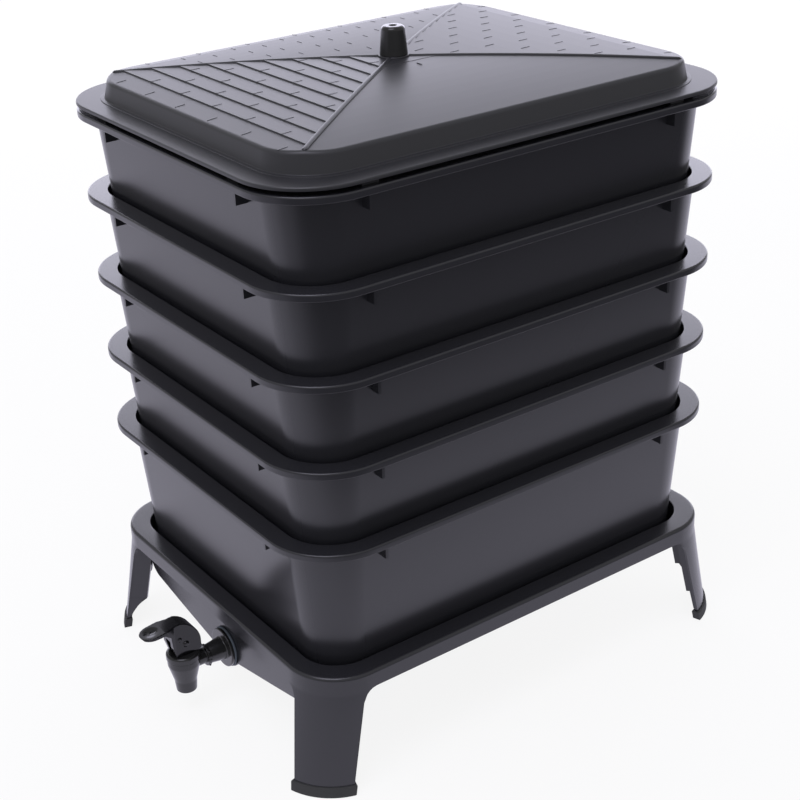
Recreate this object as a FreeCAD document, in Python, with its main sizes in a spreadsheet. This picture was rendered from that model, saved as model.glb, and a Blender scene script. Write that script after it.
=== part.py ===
# Five-tray wormery: stacked trays on a collector base with legs and a tap, under a hipped lid.
# Millimetres, +Z up. The origin is the middle of the bounding box on the floor, and the stack's
# own axis stands at +X of it by half of the tap's overhang. The tap faces -X, a long side -Y.
import FreeCAD, Part
import Sketcher
import math
import os

doc = FreeCAD.newDocument("wormery")
sheet = doc.addObject("Spreadsheet::Sheet", "Sizes")

DRIVING_SIZES = [
    ("tray_length", 435.0, "tray flange, end to end"),
    ("tray_width", 355.0, "tray flange, side to side"),
    ("tray_depth", 120.0, "tray, floor to flange top"),
    ("tray_pitch", 70.0, "height that each tray adds to the stack"),
    ("tray_draft", 0.08, "tray wall lean, mm out per mm up"),
    ("tray_wall", 2.5, "tray wall"),
    ("tray_floor", 2.5, "tray floor"),
    ("flange_corner", 58.0, "corner radius of the tray and lid flanges"),
    ("flange_overhang", 14.0, "tray flange beyond the wall below it"),
    ("flange_plate", 2.5, "tray flange thickness"),
    ("flange_lip", 6.0, "height of the turned down flange edge"),
    ("flange_lip_wall", 2.5, "thickness of the turned down flange edge"),
    ("flange_round", 1.2, "rounding of the flange's upper edge"),
    ("rib_wall", 2.5, "thickness of the ribs"),
    ("rib_drop", 19.0, "flange ribs, from the flange top down"),
    ("rib_inset", 6.5, "flange ribs, back from the flange edge"),
    ("rib_reach", 9.0, "stacking ribs, in from the wall"),
    ("rib_half_span_long", 145.0, "ribs on the long sides, from the middle"),
    ("rib_half_span_short", 100.0, "ribs on the short sides, from the middle"),
    ("drain_hole", 7.0, "diameter of a floor hole"),
    ("drain_pitch", 33.0, "spacing of the floor holes"),
    ("drain_count_long", 11.0, "floor holes along the tray"),
    ("drain_count_short", 9.0, "floor holes across the tray"),
    ("deck_height", 105.0, "top of the base flange above the floor"),
    ("deck_length", 430.0, "base flange, end to end"),
    ("deck_width", 352.0, "base flange, side to side"),
    ("deck_corner", 47.0, "corner radius of the base flange"),
    ("deck_skirt", 15.0, "height of the base flange's edge"),
    ("deck_plate", 3.0, "base flange thickness"),
    ("seat_depth", 9.0, "how far the bottom tray stands into the base"),
    ("seat_gap", 3.4, "gap round the bottom tray in the base"),
    ("tub_corner", 33.0, "inner corner radius of the base tub"),
    ("tub_wall", 3.0, "wall of the base tub"),
    ("hopper_shoulder", 120.0, "half width where the hopper steepens"),
    ("hopper_shoulder_drop", 44.0, "hopper shoulder below the base flange"),
    ("hopper_drop", 68.0, "hopper valley below the base flange"),
    ("hopper_far_drop", 20.0, "tub depth at the end away from the tap"),
    ("pocket_clear", 3.0, "drain pocket beyond the tap thread"),
    ("leg_wall", 3.5, "leg shell thickness"),
    ("leg_width_top", 57.0, "leg's width across the base corner, under the skirt"),
    ("leg_width_bottom", 48.5, "leg's width across the base corner, at the floor"),
    ("leg_curve_top", 46.7, "leg's outer radius under the skirt"),
    ("leg_curve_bottom", 56.0, "leg's outer radius at the floor"),
    ("leg_inset_top", 1.5, "leg's side edges in from the base edge, under the skirt"),
    ("leg_splay_long", 14.0, "leg's side edge out past the base edge along X, at the floor"),
    ("leg_splay_short", 5.0, "leg's side edge out past the base edge along Y, at the floor"),
    ("leg_flare", 10.0, "width of the round gusset beside the leg's head"),
    ("leg_flare_drop", 11.0, "height of that gusset"),
    ("leg_web_deep", 10.5, "depth of the web on the leg's edge at the short side"),
    ("leg_web_shallow", 5.0, "depth of the web on the leg's edge at the long side"),
    ("leg_web_step", 3.0, "how far the webs step back above the foot"),
    ("leg_web_stop", 32.0, "height of that step"),
    ("leg_web_low", 12.0, "height where the webs end"),
    ("foot_height", 9.0, "slip-on foot"),
    ("foot_sole", 2.0, "sole under the leg"),
    ("foot_wall", 2.2, "foot wall round the leg"),
    ("foot_fit", 0.1, "clearance between foot and leg"),
    ("lid_gap", 3.6, "air gap between the top tray and the lid flange"),
    ("lid_plate", 3.0, "lid flange thickness"),
    ("lid_wall", 2.6, "lid shell thickness"),
    ("lid_edge_round", 1.2, "rounding of the lid flange's edge"),
    ("plateau_margin", 20.5, "lid flange width outside the raised part"),
    ("plateau_corner", 45.0, "corner radius of the raised part's foot"),
    ("plateau_rise", 15.0, "raised part above the lid flange"),
    ("plateau_draft", 0.25, "lean of the raised part's sides, mm in per mm up"),
    ("roof_rise", 9.5, "roof apex above the raised part's edge"),
    ("batten_width", 4.0, "hip batten width"),
    ("batten_rise", 1.2, "hip batten above the roof"),
    ("batten_stop", 15.0, "hip batten short of the raised part's square corner"),
    ("lid_rim_drop", 9.0, "locating rim below the lid flange"),
    ("lid_rim_gap", 1.2, "locating rim in from the tray wall"),
    ("pad_long", 14.0, "length of a lid spacer pad"),
    ("pad_inset", 6.0, "lid spacer pads, in from the flange edge"),
    ("knob_pad_margin", 1.0, "flat seat for the knob, beyond the knob's foot"),
    ("knob_base_radius", 11.4, "knob at its foot"),
    ("knob_top_radius", 10.0, "knob at its shoulder"),
    ("knob_height", 23.0, "knob"),
    ("knob_shoulder", 3.2, "rounding of the knob's shoulder"),
    ("knob_dimple_radius", 3.0, "dimple in the knob's top"),
    ("knob_dimple_depth", 0.8, "depth of that dimple"),
    ("screw_radius", 2.4, "knob screw shank"),
    ("screw_reach", 12.0, "knob screw in the knob"),
    ("screw_hole_gap", 0.3, "screw hole clearance in the lid"),
    ("screw_head_radius", 4.8, "knob screw head"),
    ("screw_head_height", 2.8, "knob screw head"),
    ("screw_slot_width", 1.2, "driver slot in the screw head"),
    ("screw_slot_depth", 1.2, "driver slot in the screw head"),
    ("screw_seat_depth", 0.4, "flat seat for the screw head, cut into the roof's underside"),
    ("tap_axis_drop", 58.0, "tap barrel axis below the base flange"),
    ("tap_reach", 42.0, "tap's upright axis out from the base wall"),
    ("tap_bore", 4.5, "water way radius in the barrel"),
    ("thread_radius", 8.0, "tap thread"),
    ("thread_reach", 17.0, "tap thread inside the base wall"),
    ("thread_gap", 0.4, "hole clearance round the tap thread"),
    ("tap_flange_radius", 17.5, "tap flange"),
    ("tap_flange_plate", 3.0, "tap flange thickness"),
    ("washer_thickness", 2.0, "tap washers"),
    ("outer_washer_radius", 18.2, "tap washer outside the base wall"),
    ("inner_washer_radius", 15.4, "tap washer inside the base wall"),
    ("nut_flats", 27.0, "tap nut across its flats"),
    ("nut_thickness", 7.0, "tap nut"),
    ("barrel_radius", 8.4, "tap barrel at the body"),
    ("barrel_flare_radius", 10.4, "tap barrel at the flange"),
    ("barrel_waist", 1.6, "barrel narrower between body and collar"),
    ("collar_radius", 9.6, "raised collar on the barrel"),
    ("collar_width", 3.0, "raised collar on the barrel"),
    ("collar_place", 19.5, "collar from the tap's upright axis"),
    ("body_top_radius", 14.0, "tap body at its top"),
    ("body_shoulder_rise", 2.0, "tap body's widest level above the barrel axis"),
    ("body_neck_radius", 9.8, "tap body at the spout"),
    ("spout_radius", 8.8, "spout at its mouth"),
    ("spout_bore", 6.4, "spout bore radius"),
    ("spout_drop", 25.0, "spout mouth below the barrel axis"),
    ("neck_drop", 14.0, "spout neck below the barrel axis"),
    ("seat_drop", 5.0, "valve seat below the barrel axis"),
    ("chamber_radius", 10.0, "valve chamber"),
    ("body_top_rise", 8.0, "tap body top above the barrel axis"),
    ("bonnet_radius", 14.6, "bonnet ring"),
    ("bonnet_height", 6.0, "bonnet ring"),
    ("bonnet_roof", 2.5, "bonnet roof thickness"),
    ("bonnet_skirt", 3.0, "bonnet plug in the chamber"),
    ("bonnet_skirt_wall", 1.4, "wall of that plug"),
    ("thread_fit", 0.05, "radial fit of screwed and plugged pieces"),
    ("stem_radius", 2.6, "valve stem"),
    ("stem_fit", 0.1, "radial running fit of the stem"),
    ("plug_radius", 8.2, "rubber valve plug"),
    ("plug_height", 4.0, "rubber valve plug"),
    ("plug_chamfer", 1.0, "chamfer of the plug's upper edge"),
    ("plug_floor", 1.0, "rubber under the stem's end"),
    ("stem_collar_radius", 4.6, "stem collar over the plug"),
    ("stem_collar_height", 1.2, "stem collar over the plug"),
    ("spring_radius", 5.9, "spring coil, to the wire's middle"),
    ("spring_wire", 0.5, "spring wire radius"),
    ("spring_turns", 4.0, "spring coil turns"),
    ("pin_rise", 11.0, "lever pin above the bonnet top"),
    ("pin_radius", 1.5, "lever pin"),
    ("pin_length", 18.0, "lever pin"),
    ("pin_fit", 0.05, "radial running fit of the lever on its pin"),
    ("eye_radius", 4.6, "stem eye round the pin"),
    ("eye_width", 6.4, "stem eye thickness"),
    ("cheek_gap", 0.5, "lever cheek clear of the stem eye"),
    ("lever_width", 16.0, "lever hood width"),
    ("lever_heel", 9.2, "lever heel, outward from the pin"),
    ("lever_front", 12.0, "lever's outer edge at the height of the pin"),
    ("lever_rest_gap", 0.35, "lever heel clear of the bonnet"),
    ("lever_back", 14.5, "lever hood, inward from the pin"),
    ("lever_crown", 21.0, "lever crown above the pin"),
    ("lever_crown_place", 3.1, "lever crown, outward from the pin"),
    ("lever_crown_radius", 24.2, "lever hood's curve up to its crown"),
    ("lever_reach", 37.0, "lever tip out from the pin"),
    ("lever_tip_rise", 16.0, "lever tip above the pin"),
    ("paddle_width", 20.0, "finger paddle width"),
    ("paddle_thickness", 3.2, "finger paddle thickness"),
    ("paddle_bend", 18.5, "bend in the finger paddle, out from the pin"),
    ("paddle_bend_drop", 1.1, "top of that bend below the crown"),
    ("paddle_root_drop", 6.4, "underside of the paddle's root below the crown"),
    ("paddle_root_out", 12.9, "underside of the paddle's root, out from the pin"),
    ("paddle_start", 16.6, "where the lever starts to widen, out from the pin"),
]

TRAY_COUNT = 5
# Cuts run this far past the faces that they open.
PAST = 1.0
FLARE_STEPS = 6
# A leg's gussets overlap the leg by this much.
GUSSET_LAP = 6.0
# Shares of a leg section's growth that go to its width and its wall, so that it grows evenly.
LEG_WIDTH_GROWTH = 2.2
LEG_WALL_GROWTH = 1.55
# Half the side of a hexagon whose half width across flats is one.
HEXAGON_SIDE = math.tan(math.pi / 6)


class Size:
    """A length that carries both its sheet expression and its present value."""

    def __init__(self, text, value):
        self.text = text
        self.value = float(value)

    def _join(self, other, sign, result):
        return Size("(%s %s %s)" % (self.text, sign, other.text), result)

    def __add__(self, other):
        other = as_size(other)
        return self._join(other, "+", self.value + other.value)

    def __sub__(self, other):
        other = as_size(other)
        return self._join(other, "-", self.value - other.value)

    def __mul__(self, other):
        other = as_size(other)
        return self._join(other, "*", self.value * other.value)

    def __truediv__(self, other):
        other = as_size(other)
        return self._join(other, "/", self.value / other.value)

    def __neg__(self):
        return as_size(0) - self

    def root(self):
        return Size("sqrt(%s)" % self.text, math.sqrt(self.value))

    def __radd__(self, other):
        return as_size(other) + self

    def __rsub__(self, other):
        return as_size(other) - self

    def __rmul__(self, other):
        return as_size(other) * self


def as_size(value):
    if isinstance(value, Size):
        return value
    return Size("%.6g" % value, value)


def fill_sheet():
    table = {}
    for row, (alias, value, note) in enumerate(DRIVING_SIZES, start=1):
        sheet.set("A%d" % row, note)
        sheet.set("B%d" % row, "%g" % value)
        sheet.setAlias("B%d" % row, alias)
        table[alias] = Size("Sizes.%s" % alias, value)
    doc.recompute()
    return table


S = fill_sheet()


def bind(feature, path, size):
    feature.setExpression(path, as_size(size).text)


# Sketches and features

def new_body(name):
    return doc.addObject("PartDesign::Body", name)


def origin_plane(body, role):
    return next(item for item in body.Origin.OriginFeatures if item.Role == role)


def new_sketch(body, name, role="XY_Plane", offset=None):
    sketch = body.newObject("Sketcher::SketchObject", name)
    sketch.AttachmentSupport = (origin_plane(body, role), [""])
    sketch.MapMode = "FlatFace"
    if offset is not None:
        bind(sketch, "AttachmentOffset.Base.z", offset)
    return sketch


def pin_point(sketch, geometry, which, x, y):
    """Fix one point of a sketch at a pair of sizes from the sketch origin."""
    for kind, size, axis in (("DistanceX", x, -2), ("DistanceY", y, -1)):
        size = as_size(size)
        if size.text == "0":
            sketch.addConstraint(Sketcher.Constraint("PointOnObject", geometry, which, axis))
        else:
            index = sketch.addConstraint(
                Sketcher.Constraint(kind, -1, 1, geometry, which, size.value))
            bind(sketch, "Constraints[%d]" % index, size)


def add_outline(sketch, start, path):
    """Close an outline. A step is (x, y) for a line, (x, y, radius, turn) for an arc, turn +1 left."""
    first = sketch.GeometryCount
    points = [(as_size(start[0]), as_size(start[1]))]
    ends = []
    for number, step in enumerate(path):
        x, y = as_size(step[0]), as_size(step[1])
        x0, y0 = points[-1]
        a = FreeCAD.Vector(x0.value, y0.value, 0)
        b = FreeCAD.Vector(x.value, y.value, 0)
        if len(step) == 2:
            sketch.addGeometry(Part.LineSegment(a, b), False)
            ends.append((1, 2))
        else:
            radius, turn = as_size(step[2]), step[3]
            middle, chord = (a + b) * 0.5, b - a
            rise = math.sqrt(max(radius.value ** 2 - (chord.Length / 2) ** 2, 0.0))
            left = FreeCAD.Vector(-chord.y, chord.x, 0).normalize()
            centre = middle + left * (rise * turn)
            low, high = (a, b) if turn > 0 else (b, a)
            angles = [math.atan2(p.y - centre.y, p.x - centre.x) for p in (low, high)]
            circle = Part.Circle(centre, FreeCAD.Vector(0, 0, 1), radius.value)
            sketch.addGeometry(Part.ArcOfCircle(circle, angles[0], angles[1]), False)
            ends.append((1, 2) if turn > 0 else (2, 1))
        points.append((x, y))
    count = len(path)
    for number in range(count):
        here, after = first + number, first + (number + 1) % count
        sketch.addConstraint(Sketcher.Constraint(
            "Coincident", here, ends[number][1], after, ends[(number + 1) % count][0]))
        pin_point(sketch, here, ends[number][0], *points[number])
    for number, step in enumerate(path):
        if len(step) == 4:
            radius = as_size(step[2])
            index = sketch.addConstraint(
                Sketcher.Constraint("Radius", first + number, radius.value))
            bind(sketch, "Constraints[%d]" % index, radius)


def rounded_rectangle(sketch, half_x, half_y, radius):
    half_x, half_y, radius = as_size(half_x), as_size(half_y), as_size(radius)
    near_x, near_y = half_x - radius, half_y - radius
    add_outline(sketch, (-near_x, -half_y), [
        (near_x, -half_y), (half_x, -near_y, radius, 1),
        (half_x, near_y), (near_x, half_y, radius, 1),
        (-near_x, half_y), (-half_x, near_y, radius, 1),
        (-half_x, -near_y), (-near_x, -half_y, radius, 1)])


def rectangle(sketch, x0, y0, x1, y1):
    add_outline(sketch, (x0, y0), [(x1, y0), (x1, y1), (x0, y1), (x0, y0)])


def circle(sketch, x, y, radius):
    radius = as_size(radius)
    x, y = as_size(x), as_size(y)
    index = sketch.addGeometry(Part.Circle(
        FreeCAD.Vector(x.value, y.value, 0), FreeCAD.Vector(0, 0, 1), radius.value), False)
    pin_point(sketch, index, 3, x, y)
    bound = sketch.addConstraint(Sketcher.Constraint("Radius", index, radius.value))
    bind(sketch, "Constraints[%d]" % bound, radius)


def pad(body, sketch, length, name, midplane=False):
    feature = body.newObject("PartDesign::Pad", name)
    feature.Profile = sketch
    feature.Midplane = midplane
    bind(feature, "Length", length)
    sketch.Visibility = False
    return feature


def pocket(body, sketch, length, name, midplane=False):
    """Cut from a sketch along its own normal."""
    feature = body.newObject("PartDesign::Pocket", name)
    feature.Profile = sketch
    feature.Midplane = midplane
    feature.Reversed = True
    bind(feature, "Length", length)
    sketch.Visibility = False
    return feature


def loft(body, low, high, name, kind="PartDesign::AdditiveLoft"):
    feature = body.newObject(kind, name)
    feature.Profile = low
    feature.Sections = [high]
    feature.Ruled = True
    return feature


def revolve(body, sketch, name, kind="PartDesign::Revolution", axis="V_Axis"):
    feature = body.newObject(kind, name)
    feature.Profile = sketch
    feature.ReferenceAxis = (sketch, [axis])
    feature.Angle = 360.0
    return feature


def at_height(level):
    """A test for the flat edges that lie at one height."""
    def found(edge):
        box = edge.BoundBox
        return abs(box.ZMin - level.value) < 1e-4 and box.ZLength < 1e-4
    return found


def fillet_edges(body, base, radius, name, wanted):
    """Round the edges of a feature that the test picks by their own geometry."""
    doc.recompute()
    names = ["Edge%d" % (number + 1) for number, edge in enumerate(base.Shape.Edges)
             if wanted(edge)]
    feature = body.newObject("PartDesign::Fillet", name)
    feature.Base = (base, names)
    bind(feature, "Radius", radius)
    return feature


def fuse(name, *pieces):
    feature = doc.addObject("Part::MultiFuse", name)
    feature.Shapes = list(pieces)
    feature.Refine = False
    return feature


def cut(name, base, tool):
    feature = doc.addObject("Part::Cut", name)
    feature.Base, feature.Tool = base, tool
    feature.Refine = False
    return feature


def common(name, *pieces):
    feature = doc.addObject("Part::MultiCommon", name)
    feature.Shapes = list(pieces)
    return feature


def cylinder(name, radius, height, x=0, y=0, z=0, along="Z"):
    feature = doc.addObject("Part::Cylinder", name)
    bind(feature, "Radius", radius)
    bind(feature, "Height", height)
    if along == "X":
        feature.Placement.Rotation = FreeCAD.Rotation(FreeCAD.Vector(0, 1, 0), 90)
    if along == "Y":
        feature.Placement.Rotation = FreeCAD.Rotation(FreeCAD.Vector(1, 0, 0), -90)
    for letter, size in (("x", x), ("y", y), ("z", z)):
        bind(feature, "Placement.Base.%s" % letter, size)
    return feature


nodes = {}


def stack_node(name, feature, z=0, turn=0.0):
    """Make a feature one named piece, standing about the stack's axis."""
    feature.Label = name
    if turn:
        feature.Placement.Rotation = FreeCAD.Rotation(FreeCAD.Vector(0, 0, 1), turn)
    bind(feature, "Placement.Base.x", stack_shift)
    bind(feature, "Placement.Base.z", z)
    nodes[name] = feature
    return feature


# Places that several pieces share

tray_half_x, tray_half_y = S["tray_length"] / 2, S["tray_width"] / 2
wall_half_x = tray_half_x - S["flange_overhang"]
wall_half_y = tray_half_y - S["flange_overhang"]
wall_corner = S["flange_corner"] - S["flange_overhang"]
tray_lean = S["tray_depth"] * S["tray_draft"]
seat_lean = (S["tray_depth"] - S["seat_depth"]) * S["tray_draft"]
deck_half_x, deck_half_y = S["deck_length"] / 2, S["deck_width"] / 2
tub_half_x = wall_half_x - seat_lean + S["seat_gap"]
tub_half_y = wall_half_y - seat_lean + S["seat_gap"]
wall_face_x = -(tub_half_x + S["tub_wall"])
tap_axis_x = wall_face_x - S["tap_reach"]
tap_axis_z = S["deck_height"] - S["tap_axis_drop"]
bonnet_top_z = tap_axis_z + S["body_top_rise"] + S["bonnet_height"]
pin_z = bonnet_top_z + S["pin_rise"]
seat_z = tap_axis_z - S["seat_drop"]
foot_outer_x = deck_half_x + S["leg_splay_long"] + S["foot_wall"] + S["foot_fit"]
stack_shift = (S["lever_reach"] - tap_axis_x - foot_outer_x) / 2
bottom_tray_z = S["deck_height"] - S["seat_depth"]
stack_top_z = bottom_tray_z + (TRAY_COUNT - 1) * S["tray_pitch"] + S["tray_depth"]
lid_z = stack_top_z + S["lid_gap"]


# Trays

def rib_outlines(sketch, wall_half):
    """Draw the stacking rib and the flange rib of both walls that a rib plane crosses."""
    depth, draft = S["tray_depth"], S["tray_draft"]
    foot_half = wall_half - tray_lean - S["tray_wall"] / 2
    bracket_low = depth - S["rib_drop"]
    bracket_top = depth - S["flange_plate"] / 2
    for side in (1, -1):
        add_outline(sketch, (side * (foot_half - S["rib_reach"]), S["tray_floor"] / 2), [
            (side * (foot_half + S["tray_floor"] / 2 * draft), S["tray_floor"] / 2),
            (side * (foot_half + S["tray_pitch"] * draft), S["tray_pitch"]),
            (side * (foot_half - S["rib_reach"]), S["tray_pitch"]),
            (side * (foot_half - S["rib_reach"]), S["tray_floor"] / 2)])
        outer = wall_half + S["flange_overhang"] - S["rib_inset"]
        add_outline(sketch, (side * (foot_half + bracket_low * draft), bracket_low), [
            (side * outer, bracket_low), (side * outer, bracket_top),
            (side * (foot_half + bracket_top * draft), bracket_top),
            (side * (foot_half + bracket_low * draft), bracket_low)])


def build_tray(name):
    body = new_body(name)
    depth, wall, draft = S["tray_depth"], S["tray_wall"], S["tray_draft"]
    low = new_sketch(body, name + "_floor_outline")
    rounded_rectangle(low, wall_half_x - tray_lean, wall_half_y - tray_lean,
                      wall_corner - tray_lean)
    high = new_sketch(body, name + "_rim_outline", offset=depth)
    rounded_rectangle(high, wall_half_x, wall_half_y, wall_corner)
    loft(body, low, high, name + "_block")

    edge = new_sketch(body, name + "_flange_outline", offset=depth - S["flange_lip"])
    rounded_rectangle(edge, tray_half_x, tray_half_y, S["flange_corner"])
    flange = pad(body, edge, S["flange_lip"], name + "_flange")
    fillet_edges(body, flange, S["flange_round"], name + "_flange_round", at_height(depth))

    under = new_sketch(body, name + "_lip_hollow", offset=depth - S["flange_lip"])
    lip = S["flange_lip_wall"]
    rounded_rectangle(under, tray_half_x - lip, tray_half_y - lip, S["flange_corner"] - lip)
    rounded_rectangle(under, wall_half_x, wall_half_y, wall_corner)
    pocket(body, under, S["flange_lip"] - S["flange_plate"], name + "_lip_underside")

    inner_low = new_sketch(body, name + "_inner_floor", offset=S["tray_floor"])
    rise = S["tray_floor"] * draft
    rounded_rectangle(inner_low, wall_half_x - tray_lean + rise - wall,
                      wall_half_y - tray_lean + rise - wall, wall_corner - tray_lean + rise - wall)
    inner_high = new_sketch(body, name + "_inner_rim", offset=depth)
    rounded_rectangle(inner_high, wall_half_x - wall, wall_half_y - wall, wall_corner - wall)
    loft(body, inner_low, inner_high, name + "_hollow", "PartDesign::SubtractiveLoft")

    for role, half, span in (("XZ_Plane", wall_half_x, S["rib_half_span_short"]),
                             ("YZ_Plane", wall_half_y, S["rib_half_span_long"])):
        for side in (1, -1):
            plane = new_sketch(body, "%s_rib_plane_%s%s" % (name, role[:2], "ab"[side > 0]),
                               role, offset=side * span)
            rib_outlines(plane, half)
            pad(body, plane, S["rib_wall"], plane.Name + "_ribs", midplane=True)

    first = new_sketch(body, name + "_first_hole")
    pitch = S["drain_pitch"]
    circle(first, -(S["drain_count_long"] - 1) * pitch / 2,
           -(S["drain_count_short"] - 1) * pitch / 2, S["drain_hole"] / 2)
    hole = pocket(body, first, S["tray_floor"] + PAST, name + "_hole")
    rows = body.newObject("PartDesign::MultiTransform", name + "_hole_grid")
    rows.Originals = [hole]
    steps = []
    for axis, count in (("H_Axis", "drain_count_long"), ("V_Axis", "drain_count_short")):
        step = body.newObject("PartDesign::LinearPattern", name + "_holes_" + axis[0].lower())
        step.Direction = (first, [axis])
        bind(step, "Length", pitch * (S[count] - 1))
        bind(step, "Occurrences", S[count])
        steps.append(step)
    rows.Transformations = steps
    body.Tip = rows
    return body


for number in range(1, TRAY_COUNT + 1):
    stack_node("tray_%d" % number, build_tray("tray_%d" % number),
               z=bottom_tray_z + (TRAY_COUNT - number) * S["tray_pitch"])


# Collector base: flanged deck, hopper tub, drain pocket and four splayed legs in one moulding

def build_tub(name, grow, top):
    """A tub under the deck, its floor a shallow valley that falls to the tap end."""
    body = new_body(name)
    low_z = S["deck_height"] - S["hopper_drop"] - S["tub_wall"]
    plan = new_sketch(body, name + "_plan", offset=low_z)
    rounded_rectangle(plan, tub_half_x + grow, tub_half_y + grow, S["tub_corner"] + grow)
    pad(body, plan, top - low_z, name + "_block")
    deck = S["deck_height"]
    across = new_sketch(body, name + "_valley", "YZ_Plane")
    floor_rise = S["tub_wall"] - grow
    past = S["tub_wall"] + PAST
    side_y = tub_half_y + past
    side_z = deck - S["hopper_far_drop"] + floor_rise
    shoulder_z = deck - S["hopper_shoulder_drop"] + floor_rise
    valley_z = deck - S["hopper_drop"] + floor_rise
    below = low_z - PAST
    add_outline(across, (-side_y, below), [
        (side_y, below), (side_y, side_z), (S["hopper_shoulder"], shoulder_z), (0, valley_z),
        (-S["hopper_shoulder"], shoulder_z), (-side_y, side_z), (-side_y, below)])
    pocket(body, across, S["tray_length"] * 2, name + "_valley_cut", midplane=True)
    along = new_sketch(body, name + "_fall", "XZ_Plane")
    far_x = tub_half_x + past
    add_outline(along, (-far_x, below), [
        (far_x, below), (far_x, side_z), (-far_x, valley_z), (-far_x, below)])
    pocket(body, along, S["tray_width"] * 2, name + "_fall_cut", midplane=True)
    return body


def build_deck():
    body = new_body("deck")
    edge = new_sketch(body, "deck_outline", offset=S["deck_height"] - S["deck_skirt"])
    rounded_rectangle(edge, deck_half_x, deck_half_y, S["deck_corner"])
    block = pad(body, edge, S["deck_skirt"], "deck_block")
    fillet_edges(body, block, S["flange_round"], "deck_round", at_height(S["deck_height"]))
    under = new_sketch(body, "deck_hollow", offset=S["deck_height"] - S["deck_skirt"])
    wall = S["tub_wall"]
    rounded_rectangle(under, deck_half_x - wall, deck_half_y - wall, S["deck_corner"] - wall)
    rounded_rectangle(under, tub_half_x + wall, tub_half_y + wall, S["tub_corner"] + wall)
    pocket(body, under, S["deck_skirt"] - S["deck_plate"], "deck_underside")
    return body


def build_base_ribs():
    """Ribs inside the tub that the bottom tray stands on."""
    body = new_body("base_ribs")
    foot_x, foot_y = wall_half_x - tray_lean, wall_half_y - tray_lean
    for role, half, tub, span in (
            ("XZ_Plane", foot_x, tub_half_x, S["rib_half_span_short"]),
            ("YZ_Plane", foot_y, tub_half_y, S["rib_half_span_long"])):
        for side in (1, -1):
            plane = new_sketch(body, "base_rib_%s%s" % (role[:2], "ab"[side > 0]), role,
                               offset=side * span)
            low = S["deck_height"] - S["hopper_far_drop"] + S["tub_wall"] / 2
            for end in (1, -1):
                rectangle(plane, end * (half - S["rib_reach"]), low,
                          end * (tub + S["tub_wall"] / 2), bottom_tray_z)
            pad(body, plane, S["rib_wall"], plane.Name + "_pad", midplane=True)
    return body


def leg_line(height):
    """Side edges, width and outer radius of the +X +Y leg at one height."""
    head = S["deck_height"].value - S["deck_skirt"].value
    part = (head - height) / head

    def between(high, low):
        return high + (low - high) * part

    edge_x = between(deck_half_x.value - S["leg_inset_top"].value,
                     deck_half_x.value + S["leg_splay_long"].value)
    edge_y = between(deck_half_y.value - S["leg_inset_top"].value,
                     deck_half_y.value + S["leg_splay_short"].value)
    width = between(S["leg_width_top"].value, S["leg_width_bottom"].value)
    curve = between(S["leg_curve_top"].value, S["leg_curve_bottom"].value)
    return edge_x, edge_y, width, curve


class LegSection:
    """The leg's arc across the base corner at one height, its outside grown evenly."""

    def __init__(self, height, grow=0.0):
        edge_x, edge_y, width, curve = leg_line(height)
        self.height = height
        self.width = width + LEG_WIDTH_GROWTH * grow
        self.curve = curve + grow
        self.wall = S["leg_wall"].value + LEG_WALL_GROWTH * grow
        self.half_angle = math.asin(self.width / 2 / self.curve)
        self.across = FreeCAD.Vector(-1, 1, 0).normalize()
        self.out = FreeCAD.Vector(1, 1, 0).normalize()
        middle = FreeCAD.Vector(edge_x + grow, edge_y + grow, height) - FreeCAD.Vector(
            self.width, self.width, 0) / math.sqrt(8)
        self.centre = middle - self.out * self.curve * math.cos(self.half_angle)

    def point(self, angle, depth):
        """A point at an angle from the leg's middle, some depth under its outer face."""
        return self.centre + (self.out * math.cos(angle) + self.across * math.sin(angle)) * (
            self.curve - depth)

    def wire(self):
        half, wall = self.half_angle, self.wall
        return Part.Wire([
            Part.Arc(self.point(-half, 0), self.point(0, 0), self.point(half, 0)).toShape(),
            Part.makeLine(self.point(half, 0), self.point(half, wall)),
            Part.Arc(self.point(half, wall), self.point(0, wall),
                     self.point(-half, wall)).toShape(),
            Part.makeLine(self.point(-half, wall), self.point(-half, 0))])

    def web(self, side, depth):
        """The section of a web that runs inwards from one of the leg's side edges."""
        start = self.point(side * self.half_angle, self.wall / 2)
        inner = start - self.across * side * S["leg_wall"].value
        run = self.out * -(depth + self.wall / 2)
        return Part.makePolygon([start, inner, inner + run, start + run, start])


def leg_solid(heights, grow=0.0):
    return Part.makeLoft([LegSection(height, grow).wire() for height in heights], True, True)


def leg_gusset(side):
    """The round gusset in the skirt's plane beside the leg's head."""
    head = S["deck_height"].value - S["deck_skirt"].value
    reach, drop = S["leg_flare"].value, S["leg_flare_drop"].value
    section = LegSection(head)
    edge = section.point(side * section.half_angle, 0)
    start, face = (edge.y, edge.x) if side < 0 else (edge.x, edge.y)
    spots = [(start + GUSSET_LAP, head - drop), (start, head - drop)]
    for step in range(1, FLARE_STEPS + 1):
        angle = math.pi / 2 * step / FLARE_STEPS
        spots.append((start - reach * (1 - math.cos(angle)), head - drop * (1 - math.sin(angle))))
    top = head + S["deck_skirt"].value / 2
    spots += [(start - reach, top), (start + GUSSET_LAP, top)]
    inside = face - S["leg_wall"].value
    if side < 0:
        points = [FreeCAD.Vector(inside, along, height) for along, height in spots]
        thick = FreeCAD.Vector(S["leg_wall"].value, 0, 0)
    else:
        points = [FreeCAD.Vector(along, inside, height) for along, height in spots]
        thick = FreeCAD.Vector(0, S["leg_wall"].value, 0)
    return Part.Face(Part.makePolygon(points + points[:1])).extrude(thick)


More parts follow.
